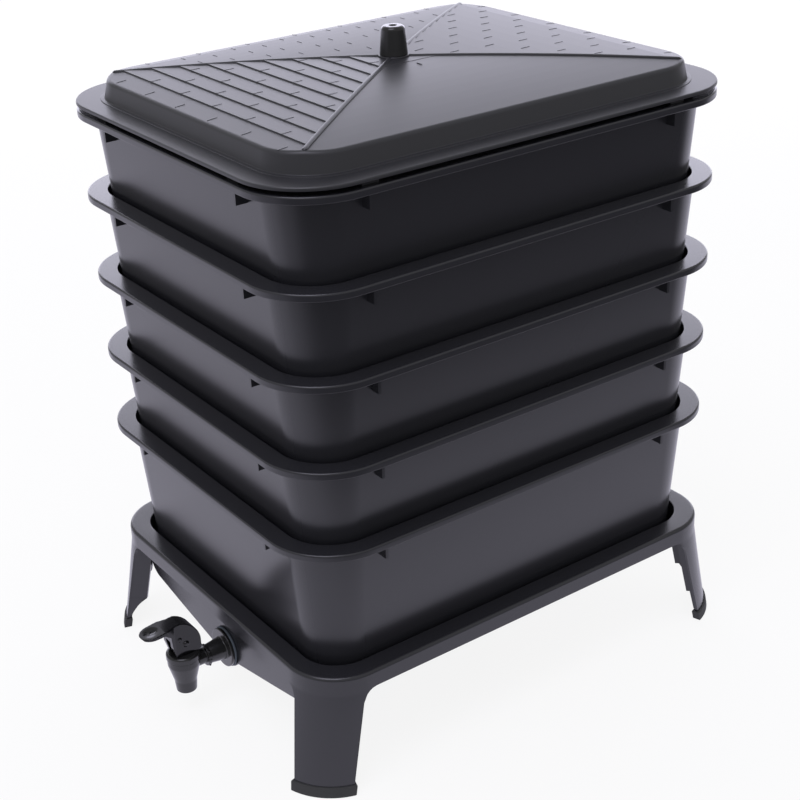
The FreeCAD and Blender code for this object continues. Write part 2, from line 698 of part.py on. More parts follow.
def leg_webs():
    """The webs that stiffen both side edges of a leg, stepped back and run out above the foot."""
    top = S["deck_height"].value - S["deck_plate"].value / 2
    stop, low, step = S["leg_web_stop"].value, S["leg_web_low"].value, S["leg_web_step"].value
    webs = []
    for side, depth in ((-1, S["leg_web_deep"].value), (1, S["leg_web_shallow"].value)):
        for high, deep, end, left in ((top, depth, stop, depth), (stop, depth - step, low, 0.5)):
            webs.append(Part.makeLoft([LegSection(high).web(side, deep),
                                       LegSection(end).web(side, left)], True, True))
    return webs


boot_heights = [0.0, S["foot_height"].value]
LEG_PLACES = [("front_left", -1, -1), ("front_right", 1, -1), ("back_left", -1, 1),
              ("back_right", 1, 1)]


def to_corner(shape, sign_x, sign_y):
    """Mirror a shape of the +X +Y corner into another corner."""
    if sign_x < 0:
        shape = shape.mirror(FreeCAD.Vector(), FreeCAD.Vector(1, 0, 0))
    if sign_y < 0:
        shape = shape.mirror(FreeCAD.Vector(), FreeCAD.Vector(0, 1, 0))
    return shape


def build_legs():
    top = S["deck_height"].value - S["deck_plate"].value / 2
    leg = leg_solid([S["foot_sole"].value, boot_heights[1] + S["foot_sole"].value, top]).fuse(
        [leg_gusset(-1), leg_gusset(1), *leg_webs()])
    legs = []
    for place, sign_x, sign_y in LEG_PLACES:
        feature = doc.addObject("Part::Feature", "leg_" + place)
        feature.Shape = to_corner(leg, sign_x, sign_y)
        legs.append(feature)
    return legs


def build_base():
    pocket_radius = S["tap_flange_radius"] + S["tub_wall"] / 2
    pocket_inside = S["thread_reach"] + S["pocket_clear"]
    outer = fuse("base_outer", build_tub("tub_outer", S["tub_wall"], S["deck_height"]),
                 build_deck(),
                 cylinder("drain_pocket_outer", pocket_radius, pocket_inside + S["tub_wall"] * 2,
                          wall_face_x, 0, tap_axis_z, along="X"),
                 *build_legs())
    hollow = fuse("base_hollow",
                  build_tub("tub_inner", as_size(0), S["deck_height"] + PAST),
                  cylinder("drain_pocket_inner", pocket_radius - S["tub_wall"], pocket_inside,
                           wall_face_x + S["tub_wall"], 0, tap_axis_z, along="X"),
                  cylinder("tap_hole", S["thread_radius"] + S["thread_gap"],
                           S["tub_wall"] + PAST * 2, wall_face_x - PAST, 0, tap_axis_z,
                           along="X"))
    shell = cut("base_shell", outer, hollow)
    return fuse("collector_base", shell, build_base_ribs())


stack_node("collector_base", build_base())

for place, sign_x, sign_y in LEG_PLACES:
    boot = leg_solid(boot_heights, S["foot_wall"].value + S["foot_fit"].value)
    sock = leg_solid([height + S["foot_sole"].value for height in boot_heights],
                     S["foot_fit"].value)
    foot = doc.addObject("Part::Feature", "foot_" + place)
    foot.Shape = to_corner(boot.cut(sock), sign_x, sign_y)
    stack_node("foot_" + place, foot)


# Lid: flange, raised part, gently domed hip roof with battens, locating rim and spacer pads

roof_apex_z = S["lid_plate"] + S["plateau_rise"] + S["roof_rise"]
knob_seat_z = roof_apex_z + S["batten_rise"]
screw_seat_z = roof_apex_z - S["lid_wall"] + S["screw_seat_depth"]


def build_roof_block(name, lower):
    """The raised part as a solid block, its hip roof lowered by an even skin thickness."""
    body = new_body(name)
    half_x = tray_half_x - S["plateau_margin"] - lower
    half_y = tray_half_y - S["plateau_margin"] - lower
    corner = S["plateau_corner"] - lower
    foot_z = S["lid_plate"] - S["lid_rim_drop"] if lower.value > 0 else as_size(0)
    head_z = roof_apex_z + S["batten_rise"] + PAST
    outlines = []
    for role, height in (("_foot", foot_z), ("_head", head_z)):
        lean = (height - S["lid_plate"]) * S["plateau_draft"]
        outline = new_sketch(body, name + role, offset=height)
        rounded_rectangle(outline, half_x - lean, half_y - lean, corner - lean)
        outlines.append(outline)
    loft(body, outlines[0], outlines[1], name + "_block")
    eaves_z = S["lid_plate"] + S["plateau_rise"] - lower
    ridge_z = eaves_z + S["roof_rise"]
    over = head_z + S["roof_rise"]
    for role, half, reach in (("XZ_Plane", tray_half_x, S["tray_width"]),
                              ("YZ_Plane", tray_half_y, S["tray_length"])):
        eaves = half - S["plateau_margin"]
        rise = S["roof_rise"]
        radius = (eaves * eaves + rise * rise) / (rise * 2)
        arch = new_sketch(body, "%s_arch_%s" % (name, role[:2].lower()), role)
        add_outline(arch, (-eaves, eaves_z), [
            (0, ridge_z, radius, -1), (eaves, eaves_z, radius, -1),
            (eaves, over), (-eaves, over), (-eaves, eaves_z)])
        pocket(body, arch, reach * 2, name + "_roof_" + role[:2].lower(), midplane=True)
    return body


def build_batten_box(name, sign):
    """An upright slab along one diagonal of the roof."""
    body = new_body(name)
    half_x = tray_half_x - S["plateau_margin"]
    half_y = tray_half_y - S["plateau_margin"]
    plan = new_sketch(body, name + "_plan", offset=S["lid_plate"])
    diagonal = (half_x * half_x + half_y * half_y).root()
    end_x = half_x - S["batten_stop"] * half_x / diagonal
    end_y = half_y - S["batten_stop"] * half_y / diagonal
    across = S["batten_width"] / 2 * half_y / diagonal
    down = S["batten_width"] / 2 * half_x / diagonal
    add_outline(plan, (-end_x + across, sign * (-end_y - down)), [
        (end_x + across, sign * (end_y - down)), (end_x - across, sign * (end_y + down)),
        (-end_x - across, sign * (-end_y + down)), (-end_x + across, sign * (-end_y - down))])
    pad(body, plan, S["plateau_rise"] + S["roof_rise"] * 2, name + "_slab")
    return body


def build_lid_rim():
    body = new_body("lid_rim")
    drop, gap = S["lid_rim_drop"], S["lid_rim_gap"] + S["tray_wall"]
    plan = new_sketch(body, "lid_rim_plan", offset=-drop)
    rounded_rectangle(plan, wall_half_x - gap, wall_half_y - gap, wall_corner - gap)
    inner = gap + S["lid_wall"]
    rounded_rectangle(plan, wall_half_x - inner, wall_half_y - inner, wall_corner - inner)
    pad(body, plan, drop + S["lid_plate"] / 2, "lid_rim_pad")
    return body


def build_lid_pads():
    """Spacer pads that hold the lid off the top tray, so that air gets in."""
    body = new_body("lid_pads")
    plan = new_sketch(body, "lid_pads_plan", offset=-S["lid_gap"])
    low = S["pad_inset"]
    high = S["flange_overhang"] - S["lid_rim_gap"]
    half = S["pad_long"] / 2
    for side in (1, -1):
        for end in (1, -1):
            middle = end * S["rib_half_span_short"]
            rectangle(plan, side * (tray_half_x - high), middle - half,
                      side * (tray_half_x - low), middle + half)
            middle = end * S["rib_half_span_long"]
            rectangle(plan, middle - half, side * (tray_half_y - high),
                      middle + half, side * (tray_half_y - low))
    pad(body, plan, S["lid_gap"] + S["lid_plate"] / 2, "lid_pads_pad")
    return body


def build_lid_flange():
    body = new_body("lid_flange")
    plan = new_sketch(body, "lid_flange_outline")
    rounded_rectangle(plan, tray_half_x, tray_half_y, S["flange_corner"])
    plate = pad(body, plan, S["lid_plate"], "lid_flange_plate")
    fillet_edges(body, plate, S["lid_edge_round"], "lid_flange_round",
                 at_height(S["lid_plate"]))
    return body


def build_lid():
    battens = common("lid_battens", build_roof_block("batten_roof", -S["batten_rise"]),
                     fuse("lid_batten_slabs", build_batten_box("batten_a", 1),
                          build_batten_box("batten_b", -1)))
    outer = fuse("lid_outer", build_lid_flange(), build_roof_block("roof_outer", as_size(0)),
                 battens,
                 cylinder("knob_pad", S["knob_base_radius"] + S["knob_pad_margin"],
                          knob_seat_z - S["lid_plate"], 0, 0, S["lid_plate"]))
    hollow = fuse("lid_hollow", build_roof_block("roof_inner", S["lid_wall"]),
                  cylinder("screw_hole", S["screw_radius"] + S["screw_hole_gap"],
                           knob_seat_z + PAST),
                  cylinder("screw_seat", S["screw_head_radius"] + S["screw_hole_gap"],
                           screw_seat_z))
    shell = cut("lid_shell", outer, hollow)
    return fuse("lid_whole", shell, build_lid_rim(), build_lid_pads())


stack_node("lid", build_lid(), z=lid_z)


# Knob and its screw, in the lid's frame

def build_knob():
    body = new_body("knob_body")
    foot, head, tall = S["knob_base_radius"], S["knob_top_radius"], S["knob_height"]
    shoulder, dimple = S["knob_shoulder"], S["knob_dimple_radius"]
    depth = S["knob_dimple_depth"]
    dish = (dimple * dimple + depth * depth) / (depth * 2)
    profile = new_sketch(body, "knob_profile", "XZ_Plane")
    hole, deep = S["screw_radius"], S["screw_reach"]
    add_outline(profile, (hole, 0), [
        (foot, 0), (head, tall - shoulder), (head - shoulder, tall, shoulder, 1),
        (dimple, tall), (0, tall - depth, dish, -1), (0, deep), (hole, deep), (hole, 0)])
    revolve(body, profile, "knob_turned")
    return body


def build_knob_screw():
    """Pan head under the roof, plain shank up into the knob."""
    body = new_body("knob_screw_body")
    head_z = screw_seat_z - S["screw_head_height"]
    top_z = knob_seat_z + S["screw_reach"]
    profile = new_sketch(body, "knob_screw_profile", "XZ_Plane")
    shank, head = S["screw_radius"], S["screw_head_radius"]
    add_outline(profile, (0, head_z), [
        (head, head_z), (head, screw_seat_z), (shank, screw_seat_z), (shank, top_z), (0, top_z),
        (0, head_z)])
    revolve(body, profile, "knob_screw_turned")
    slot = new_sketch(body, "knob_screw_slot", offset=head_z)
    rectangle(slot, -head - PAST, -S["screw_slot_width"] / 2, head + PAST,
              S["screw_slot_width"] / 2)
    pocket(body, slot, S["screw_slot_depth"], "knob_screw_slot_cut")
    return body


stack_node("lid_knob", build_knob(), z=lid_z + knob_seat_z)
stack_node("lid_knob_screw", build_knob_screw(), z=lid_z)


# Tap: pieces on the barrel axis (along X) and on the upright axis

def place_on_upright(name, body):
    stack_node(name, body, z=0)
    bind(body, "Placement.Base.x", stack_shift + tap_axis_x)
    return body


def build_tap_body():
    body = new_body("tap_body_solid")
    axis_z, top = tap_axis_z, tap_axis_z + S["body_top_rise"]
    neck, mouth = axis_z - S["neck_drop"], axis_z - S["spout_drop"]
    outside = new_sketch(body, "tap_outside", "XZ_Plane")
    add_outline(outside, (0, mouth), [
        (S["spout_radius"], mouth), (S["body_neck_radius"], neck),
        (S["body_top_radius"], axis_z + S["body_shoulder_rise"]), (S["body_top_radius"], top),
        (0, top), (0, mouth)])
    revolve(body, outside, "tap_turned")
    barrel = new_sketch(body, "tap_barrel", "XZ_Plane")
    bind(barrel, "AttachmentOffset.Base.y", axis_z)
    flange_in = S["tap_reach"] - S["washer_thickness"]
    flange_out = flange_in - S["tap_flange_plate"]
    end = S["tap_reach"] + S["tub_wall"] + S["thread_reach"]
    place, ring = S["collar_place"], S["collar_place"] + S["collar_width"]
    waist = S["barrel_radius"] - S["barrel_waist"]
    add_outline(barrel, (0, 0), [
        (end, 0), (end, S["thread_radius"]), (flange_in, S["thread_radius"]),
        (flange_in, S["tap_flange_radius"]), (flange_out, S["tap_flange_radius"]),
        (flange_out, S["barrel_flare_radius"]), (ring, S["barrel_radius"]),
        (ring, S["collar_radius"]), (place, S["collar_radius"]), (place, waist), (0, waist),
        (0, 0)])
    revolve(body, barrel, "tap_barrel_turned", axis="H_Axis")
    inside = new_sketch(body, "tap_inside", "XZ_Plane")
    add_outline(inside, (0, mouth - PAST), [
        (S["spout_bore"], mouth - PAST), (S["spout_bore"], seat_z), (S["chamber_radius"], seat_z),
        (S["chamber_radius"], top + PAST), (0, top + PAST), (0, mouth - PAST)])
    revolve(body, inside, "tap_chamber", "PartDesign::Groove")
    way = new_sketch(body, "tap_water_way", "YZ_Plane")
    circle(way, 0, axis_z, S["tap_bore"])
    pocket(body, way, end + PAST, "tap_water_way_cut")
    return body


place_on_upright("tap_body", build_tap_body())


def on_barrel_axis(name, x, height, draw):
    """A flat piece on the barrel axis: its outline drawn across X, from x along +X."""
    body = new_body(name + "_solid")
    plan = new_sketch(body, name + "_plan", "YZ_Plane", offset=x)
    bind(plan, "AttachmentOffset.Base.y", tap_axis_z)
    draw(plan)
    pad(body, plan, height, name + "_pad")
    stack_node(name, body)


def ring_outline(outer, inner):
    def draw(sketch):
        circle(sketch, 0, 0, outer)
        circle(sketch, 0, 0, inner)
    return draw


def nut_outline(sketch):
    flat = S["nut_flats"] / 2
    side, tip = flat * HEXAGON_SIDE, flat * HEXAGON_SIDE * 2
    add_outline(sketch, (flat, -side), [
        (flat, side), (0, tip), (-flat, side), (-flat, -side), (0, -tip), (flat, -side)])
    circle(sketch, 0, 0, S["thread_radius"] + S["thread_fit"])


inner_face_x = wall_face_x + S["tub_wall"]
thread_hole = S["thread_radius"] + S["thread_gap"]
on_barrel_axis("tap_outer_washer", wall_face_x - S["washer_thickness"], S["washer_thickness"],
               ring_outline(S["outer_washer_radius"], thread_hole))
on_barrel_axis("tap_inner_washer", inner_face_x, S["washer_thickness"],
               ring_outline(S["inner_washer_radius"], thread_hole))
on_barrel_axis("tap_nut", inner_face_x + S["washer_thickness"], S["nut_thickness"], nut_outline)


def build_bonnet():
    """The ring cap that closes the valve chamber and guides the stem."""
    body = new_body("tap_bonnet_solid")
    base = tap_axis_z + S["body_top_rise"]
    roof = bonnet_top_z - S["bonnet_roof"]
    bore = S["stem_radius"] + S["stem_fit"]
    skirt = S["chamber_radius"] - S["thread_fit"]
    cavity = skirt - S["bonnet_skirt_wall"]
    profile = new_sketch(body, "tap_bonnet_profile", "XZ_Plane")
    add_outline(profile, (cavity, base - S["bonnet_skirt"]), [
        (skirt, base - S["bonnet_skirt"]), (skirt, base), (S["bonnet_radius"], base),
        (S["bonnet_radius"], roof), (S["bonnet_radius"] - S["bonnet_roof"], bonnet_top_z),
        (bore, bonnet_top_z), (bore, roof), (cavity, roof),
        (cavity, base - S["bonnet_skirt"])])
    revolve(body, profile, "tap_bonnet_turned")
    return body


def build_stem():
    """The rod that lifts the plug, with an eye round the lever pin at its head."""
    body = new_body("tap_stem_solid")
    plug_top = seat_z + S["plug_height"]
    profile = new_sketch(body, "tap_stem_profile", "XZ_Plane")
    collar, collar_top = S["stem_collar_radius"], plug_top + S["stem_collar_height"]
    low = seat_z + S["plug_floor"]
    add_outline(profile, (0, low), [
        (S["stem_radius"], low), (S["stem_radius"], plug_top), (collar, plug_top),
        (collar, collar_top), (S["stem_radius"], collar_top), (S["stem_radius"], pin_z),
        (0, pin_z), (0, low)])
    revolve(body, profile, "tap_stem_turned")
    eye = new_sketch(body, "tap_stem_eye", "XZ_Plane")
    circle(eye, 0, pin_z, S["eye_radius"])
    pad(body, eye, S["eye_width"], "tap_stem_eye_pad", midplane=True)
    hole = new_sketch(body, "tap_stem_eye_hole", "XZ_Plane")
    circle(hole, 0, pin_z, S["pin_radius"] + S["thread_fit"])
    pocket(body, hole, S["eye_width"] * 2, "tap_stem_eye_bore", midplane=True)
    return body


def build_plug():
    body = new_body("tap_plug_solid")
    top = seat_z + S["plug_height"]
    hole = S["stem_radius"] + S["thread_fit"]
    hole_z = seat_z + S["plug_floor"] - S["thread_fit"]
    radius, chamfer = S["plug_radius"], S["plug_chamfer"]
    profile = new_sketch(body, "tap_plug_profile", "XZ_Plane")
    add_outline(profile, (0, seat_z), [
        (radius, seat_z), (radius, top - chamfer), (radius - chamfer, top), (hole, top),
        (hole, hole_z), (0, hole_z), (0, seat_z)])
    revolve(body, profile, "tap_plug_turned")
    return body


def build_pin():
    body = new_body("tap_lever_pin_solid")
    profile = new_sketch(body, "tap_lever_pin_profile", "XZ_Plane")
    circle(profile, 0, pin_z, S["pin_radius"])
    pad(body, profile, S["pin_length"], "tap_lever_pin_pad", midplane=True)
    return body


def build_lever():
    """Hood over the stem's eye with a finger paddle; its heel turns on the bonnet."""
    body = new_body("tap_lever_solid")
    side = new_sketch(body, "tap_lever_side", "XZ_Plane")
    bind(side, "AttachmentOffset.Base.y", pin_z)
    foot = -(S["pin_rise"] - S["lever_rest_gap"])
    heel, back, crown = -S["lever_heel"], S["lever_back"], S["lever_crown"]
    tip, rise, thick = -S["lever_reach"], S["lever_tip_rise"], S["paddle_thickness"]
    bend, root_z = -S["paddle_bend"], crown - S["paddle_root_drop"]
    add_outline(side, (heel, foot), [
        (back - thick, foot), (back, foot + thick, thick, 1), (back, 0),
        (-S["lever_crown_place"], crown, S["lever_crown_radius"], 1),
        (bend, crown - S["paddle_bend_drop"]), (tip, rise + thick / 2),
        (tip + thick / 2, rise), (bend, root_z + thick / 2),
        (-S["paddle_root_out"], root_z - thick), (-S["lever_front"], 0), (heel, foot)])
    pad(body, side, S["paddle_width"], "tap_lever_block", midplane=True)
    plan = new_sketch(body, "tap_lever_plan", offset=pin_z + foot - PAST)
    wide, narrow, start = S["paddle_width"] / 2, S["lever_width"] / 2, -S["paddle_start"]
    rectangle(plan, tip - wide, -wide * 2, back + wide, wide * 2)
    add_outline(plan, (back + PAST, -narrow), [
        (back + PAST, narrow), (heel, narrow), (start, wide), (tip + wide, wide),
        (tip, 0, wide, 1), (tip + wide, -wide, wide, 1), (start, -wide), (heel, -narrow),
        (back + PAST, -narrow)])
    pocket(body, plan, crown - foot + PAST * 2, "tap_lever_trim")
    slot = new_sketch(body, "tap_lever_slot", "XZ_Plane")
    bind(slot, "AttachmentOffset.Base.y", pin_z)
    clear = S["eye_radius"] + S["cheek_gap"]
    rectangle(slot, -S["lever_front"] - S["paddle_thickness"], foot - PAST, clear, clear)
    pocket(body, slot, S["eye_width"] + S["cheek_gap"] * 2, "tap_lever_slot_cut", midplane=True)
    bore = new_sketch(body, "tap_lever_bore", "XZ_Plane")
    circle(bore, 0, pin_z, S["pin_radius"] + S["pin_fit"])
    pocket(body, bore, S["paddle_width"] * 2, "tap_lever_bore_cut", midplane=True)
    return body


def helix_point(turn, low, high, radius, turns):
    angle = 2 * math.pi * turn
    return FreeCAD.Vector(radius * math.cos(angle), radius * math.sin(angle),
                          low + (high - low) * turn / turns)


def build_spring():
    """One unbroken wire from the plug's top to the bonnet's roof, in half-turn arcs."""
    wire, turns = S["spring_wire"].value, S["spring_turns"].value
    low = seat_z.value + S["plug_height"].value + wire + S["thread_fit"].value
    high = bonnet_top_z.value - S["bonnet_roof"].value - wire - S["thread_fit"].value
    radius = S["spring_radius"].value
    arcs = []
    for half in range(int(round(turns * 2))):
        spots = [helix_point(half / 2 + step / 4, low, high, radius, turns) for step in range(3)]
        arcs.append(Part.Arc(*spots).toShape())
    path = Part.Wire(arcs)
    start = arcs[0]
    section = Part.Wire([Part.makeCircle(
        wire, start.valueAt(start.FirstParameter), start.tangentAt(start.FirstParameter))])
    feature = doc.addObject("Part::Feature", "tap_spring_coil")
    feature.Shape = path.makePipeShell([section], True, False)
    return feature


place_on_upright("tap_bonnet", build_bonnet())
place_on_upright("tap_stem", build_stem())
place_on_upright("tap_plug", build_plug())
place_on_upright("tap_lever_pin", build_pin())
place_on_upright("tap_lever", build_lever())
place_on_upright("tap_spring", build_spring())


# Check every object, then write one file for each piece

doc.recompute()
for item in doc.Objects:
    if "Invalid" in item.State or "Error" in item.State:
        raise RuntimeError("%s did not compute: %s" % (item.Label, item.State))
for name, feature in nodes.items():
    if feature.Shape.isNull() or not feature.Shape.isValid() or not feature.Shape.Solids:
        raise RuntimeError("%s has no valid solid" % name)

os.makedirs("parts", exist_ok=True)
for name, feature in nodes.items():
    feature.Shape.exportStep("parts/%s.step" % name)
    box = feature.Shape.BoundBox
    print("%-18s solids %d  volume %9.0f  x %.1f %.1f  y %.1f %.1f  z %.1f %.1f" % (
        name, len(feature.Shape.Solids), feature.Shape.Volume, box.XMin, box.XMax,
        box.YMin, box.YMax, box.ZMin, box.ZMax))
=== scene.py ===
"""The looks of a stacking wormery: trays, lid, collector base, feet and tap in one shared frame."""

import logging
import math
from dataclasses import dataclass
from enum import Enum
from functools import cache
from typing import Sequence

import bmesh
import bpy
from mathutils import Matrix, Vector


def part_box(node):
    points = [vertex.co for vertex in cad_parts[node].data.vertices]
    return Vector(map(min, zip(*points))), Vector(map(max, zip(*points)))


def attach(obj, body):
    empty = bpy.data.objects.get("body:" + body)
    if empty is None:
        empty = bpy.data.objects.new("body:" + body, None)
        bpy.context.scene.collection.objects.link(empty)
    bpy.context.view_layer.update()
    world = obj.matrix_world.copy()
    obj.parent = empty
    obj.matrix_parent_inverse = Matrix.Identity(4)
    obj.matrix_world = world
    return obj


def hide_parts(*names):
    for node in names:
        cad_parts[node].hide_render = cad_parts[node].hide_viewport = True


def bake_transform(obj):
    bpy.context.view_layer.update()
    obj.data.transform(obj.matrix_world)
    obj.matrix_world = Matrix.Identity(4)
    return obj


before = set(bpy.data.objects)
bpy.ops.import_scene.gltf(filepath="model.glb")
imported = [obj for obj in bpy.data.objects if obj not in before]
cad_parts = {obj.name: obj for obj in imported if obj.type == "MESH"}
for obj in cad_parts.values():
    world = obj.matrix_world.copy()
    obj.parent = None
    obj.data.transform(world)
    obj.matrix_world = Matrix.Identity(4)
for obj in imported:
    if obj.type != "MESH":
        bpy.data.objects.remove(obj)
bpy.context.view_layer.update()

LOG = logging.getLogger("wormery")
MM = 0.001
QUARTER_TURN = math.pi / 2
SHARP_ANGLE = math.radians(32.0)
MERGE_DISTANCE = 2e-6
LATHE_SEGMENTS = 64
FINE_SEGMENTS = 72
SMALL_ROUND_SIDES = 14

Point = tuple[float, float, float]
Flat = tuple[float, float]
Colour = Point
Row = list[bmesh.types.BMVert]


# Nodes

class Value:
    """What one node puts out. Arithmetic on a number adds Math nodes to the tree."""

    def __init__(self, tree: "Tree", socket: bpy.types.NodeSocket | None) -> None:
        """Wrap one output socket of a tree, or none after a node that has no output."""
        self.tree = tree
        self.socket = socket

    def __add__(self, other: "Number") -> "Value":
        """The sum of both."""
        return self.tree.maths("ADD", self, other)

    def __sub__(self, other: "Number") -> "Value":
        """This less the other."""
        return self.tree.maths("SUBTRACT", self, other)

    def __rsub__(self, other: "Number") -> "Value":
        """The other less this."""
        return self.tree.maths("SUBTRACT", other, self)

    def __mul__(self, other: "Number") -> "Value":
        """The product of both."""
        return self.tree.maths("MULTIPLY", self, other)

    def __truediv__(self, other: "Number") -> "Value":
        """This divided by the other."""
        return self.tree.maths("DIVIDE", self, other)

    __radd__ = __add__
    __rmul__ = __mul__

    def above(self, level: "Number") -> "Value":
        """One where this is greater than a level, else nought."""
        return self.tree.maths("GREATER_THAN", self, level)

    def size(self) -> "Value":
        """This without its sign."""
        return self.tree.maths("ABSOLUTE", self)

    def root(self) -> "Value":
        """The square root of this."""
        return self.tree.maths("SQRT", self)

    def held(self) -> "Value":
        """This kept between nought and one."""
        return self.tree.maths("ADD", self, 0.0, clamp=True)

    def part(self, name: str) -> "Value":
        """Another output of the same node."""
        return Value(self.tree, self.socket.node.outputs[name])


Number = Value | float


class Tree:
    """Adds nodes to one shader or geometry tree."""

    def __init__(self, group: bpy.types.NodeTree) -> None:
        """Take the node tree that the nodes go into."""
        self.group = group

    def add(self, kind: str, settings: dict[str, object] | None = None,
            inputs: dict[str | int, object] | None = None) -> Value:
        """Add one node.

        Args:
            kind: The node's type.
            settings: Properties of the node, set before its sockets.
            inputs: A value, a Value or a list of Values for each input socket, by name or index.

        Returns:
            The node's first output.
        """
        node = self.group.nodes.new(kind)
        for name, value in (settings or {}).items():
            setattr(node, name, value)
        self.fill(node, inputs or {})
        outputs = [socket for socket in node.outputs if socket.enabled] or [None]
        return Value(self, outputs[0])

    def fill(self, node: bpy.types.Node, inputs: dict[str | int, object]) -> None:
        """Set or link the input sockets of a node.

        Args:
            node: The node.
            inputs: A value, a Value or a list of Values for each input socket, by name or index.
        """
        for name, value in inputs.items():
            for item in value if isinstance(value, list) else [value]:
                if isinstance(item, Value):
                    self.group.links.new(item.socket, node.inputs[name])
                else:
                    node.inputs[name].default_value = item

    def maths(self, operation: str, first: Number, second: Number = 0.0,
              clamp: bool = False) -> Value:
        """Add one Math node.

        Args:
            operation: The Math node's operation.
            first: Its first number.
            second: Its second number, unused by operations on one number.
            clamp: Whether the result is kept between nought and one.

        Returns:
            The result.
        """
        settings = {"operation": operation, "use_clamp": clamp}
        return self.add("ShaderNodeMath", settings, {0: first, 1: second})

    def vector(self, x: Number = 0.0, y: Number = 0.0, z: Number = 0.0) -> Value:
        """Join three numbers into a vector."""
        return self.add("ShaderNodeCombineXYZ", {}, {"X": x, "Y": y, "Z": z})

    def ramp(self, value: Value, start: float, end: float) -> Value:
        """Nought up to a start, one from an end on, and a soft slope between them."""
        part = ((value - start) / (end - start)).held()
        return part * part * (3.0 - part * 2.0)

    def blend(self, share: Value, first: object, second: object) -> Value:
        """Blend two colours.

        Args:
            share: The second colour's share.
            first: The colour at nought.
            second: The colour at one.

        Returns:
            The blend.
        """
        node = self.add("ShaderNodeMix", {"data_type": "RGBA"}, {0: share, 6: first, 7: second})
        return Value(self, node.socket.node.outputs[2])

    def noise(self, place: Value, size: float, detail: float = 2.0,
              stretch: Point = (1.0, 1.0, 1.0)) -> Value:
        """Add a noise pattern fixed to the object.

        Args:
            place: Object coordinates in metres.
            size: The width of one speck in metres.
            detail: How many finer layers it has.
            stretch: How much longer than wide a speck is along each axis.

        Returns:
            The pattern, about 0.5 on average.
        """
        scale = tuple(1.0 / (size * times) for times in stretch)
        spot = self.add("ShaderNodeMapping", {"vector_type": "POINT"},
                        {"Vector": place, "Scale": scale})
        return self.add("ShaderNodeTexNoise", {"noise_dimensions": "3D"},
                        {"Vector": spot, "Scale": 1.0, "Detail": detail, "Roughness": 0.55})

    def coordinates(self) -> Value:
        """Object coordinates in metres."""
        return self.add("ShaderNodeTexCoord").part("Object")

    def bump(self, height: Value) -> Value:
        """Turn heights in metres into the surface's normal."""
        return self.add("ShaderNodeBump", {}, {"Height": height, "Distance": 1.0, "Strength": 1.0})


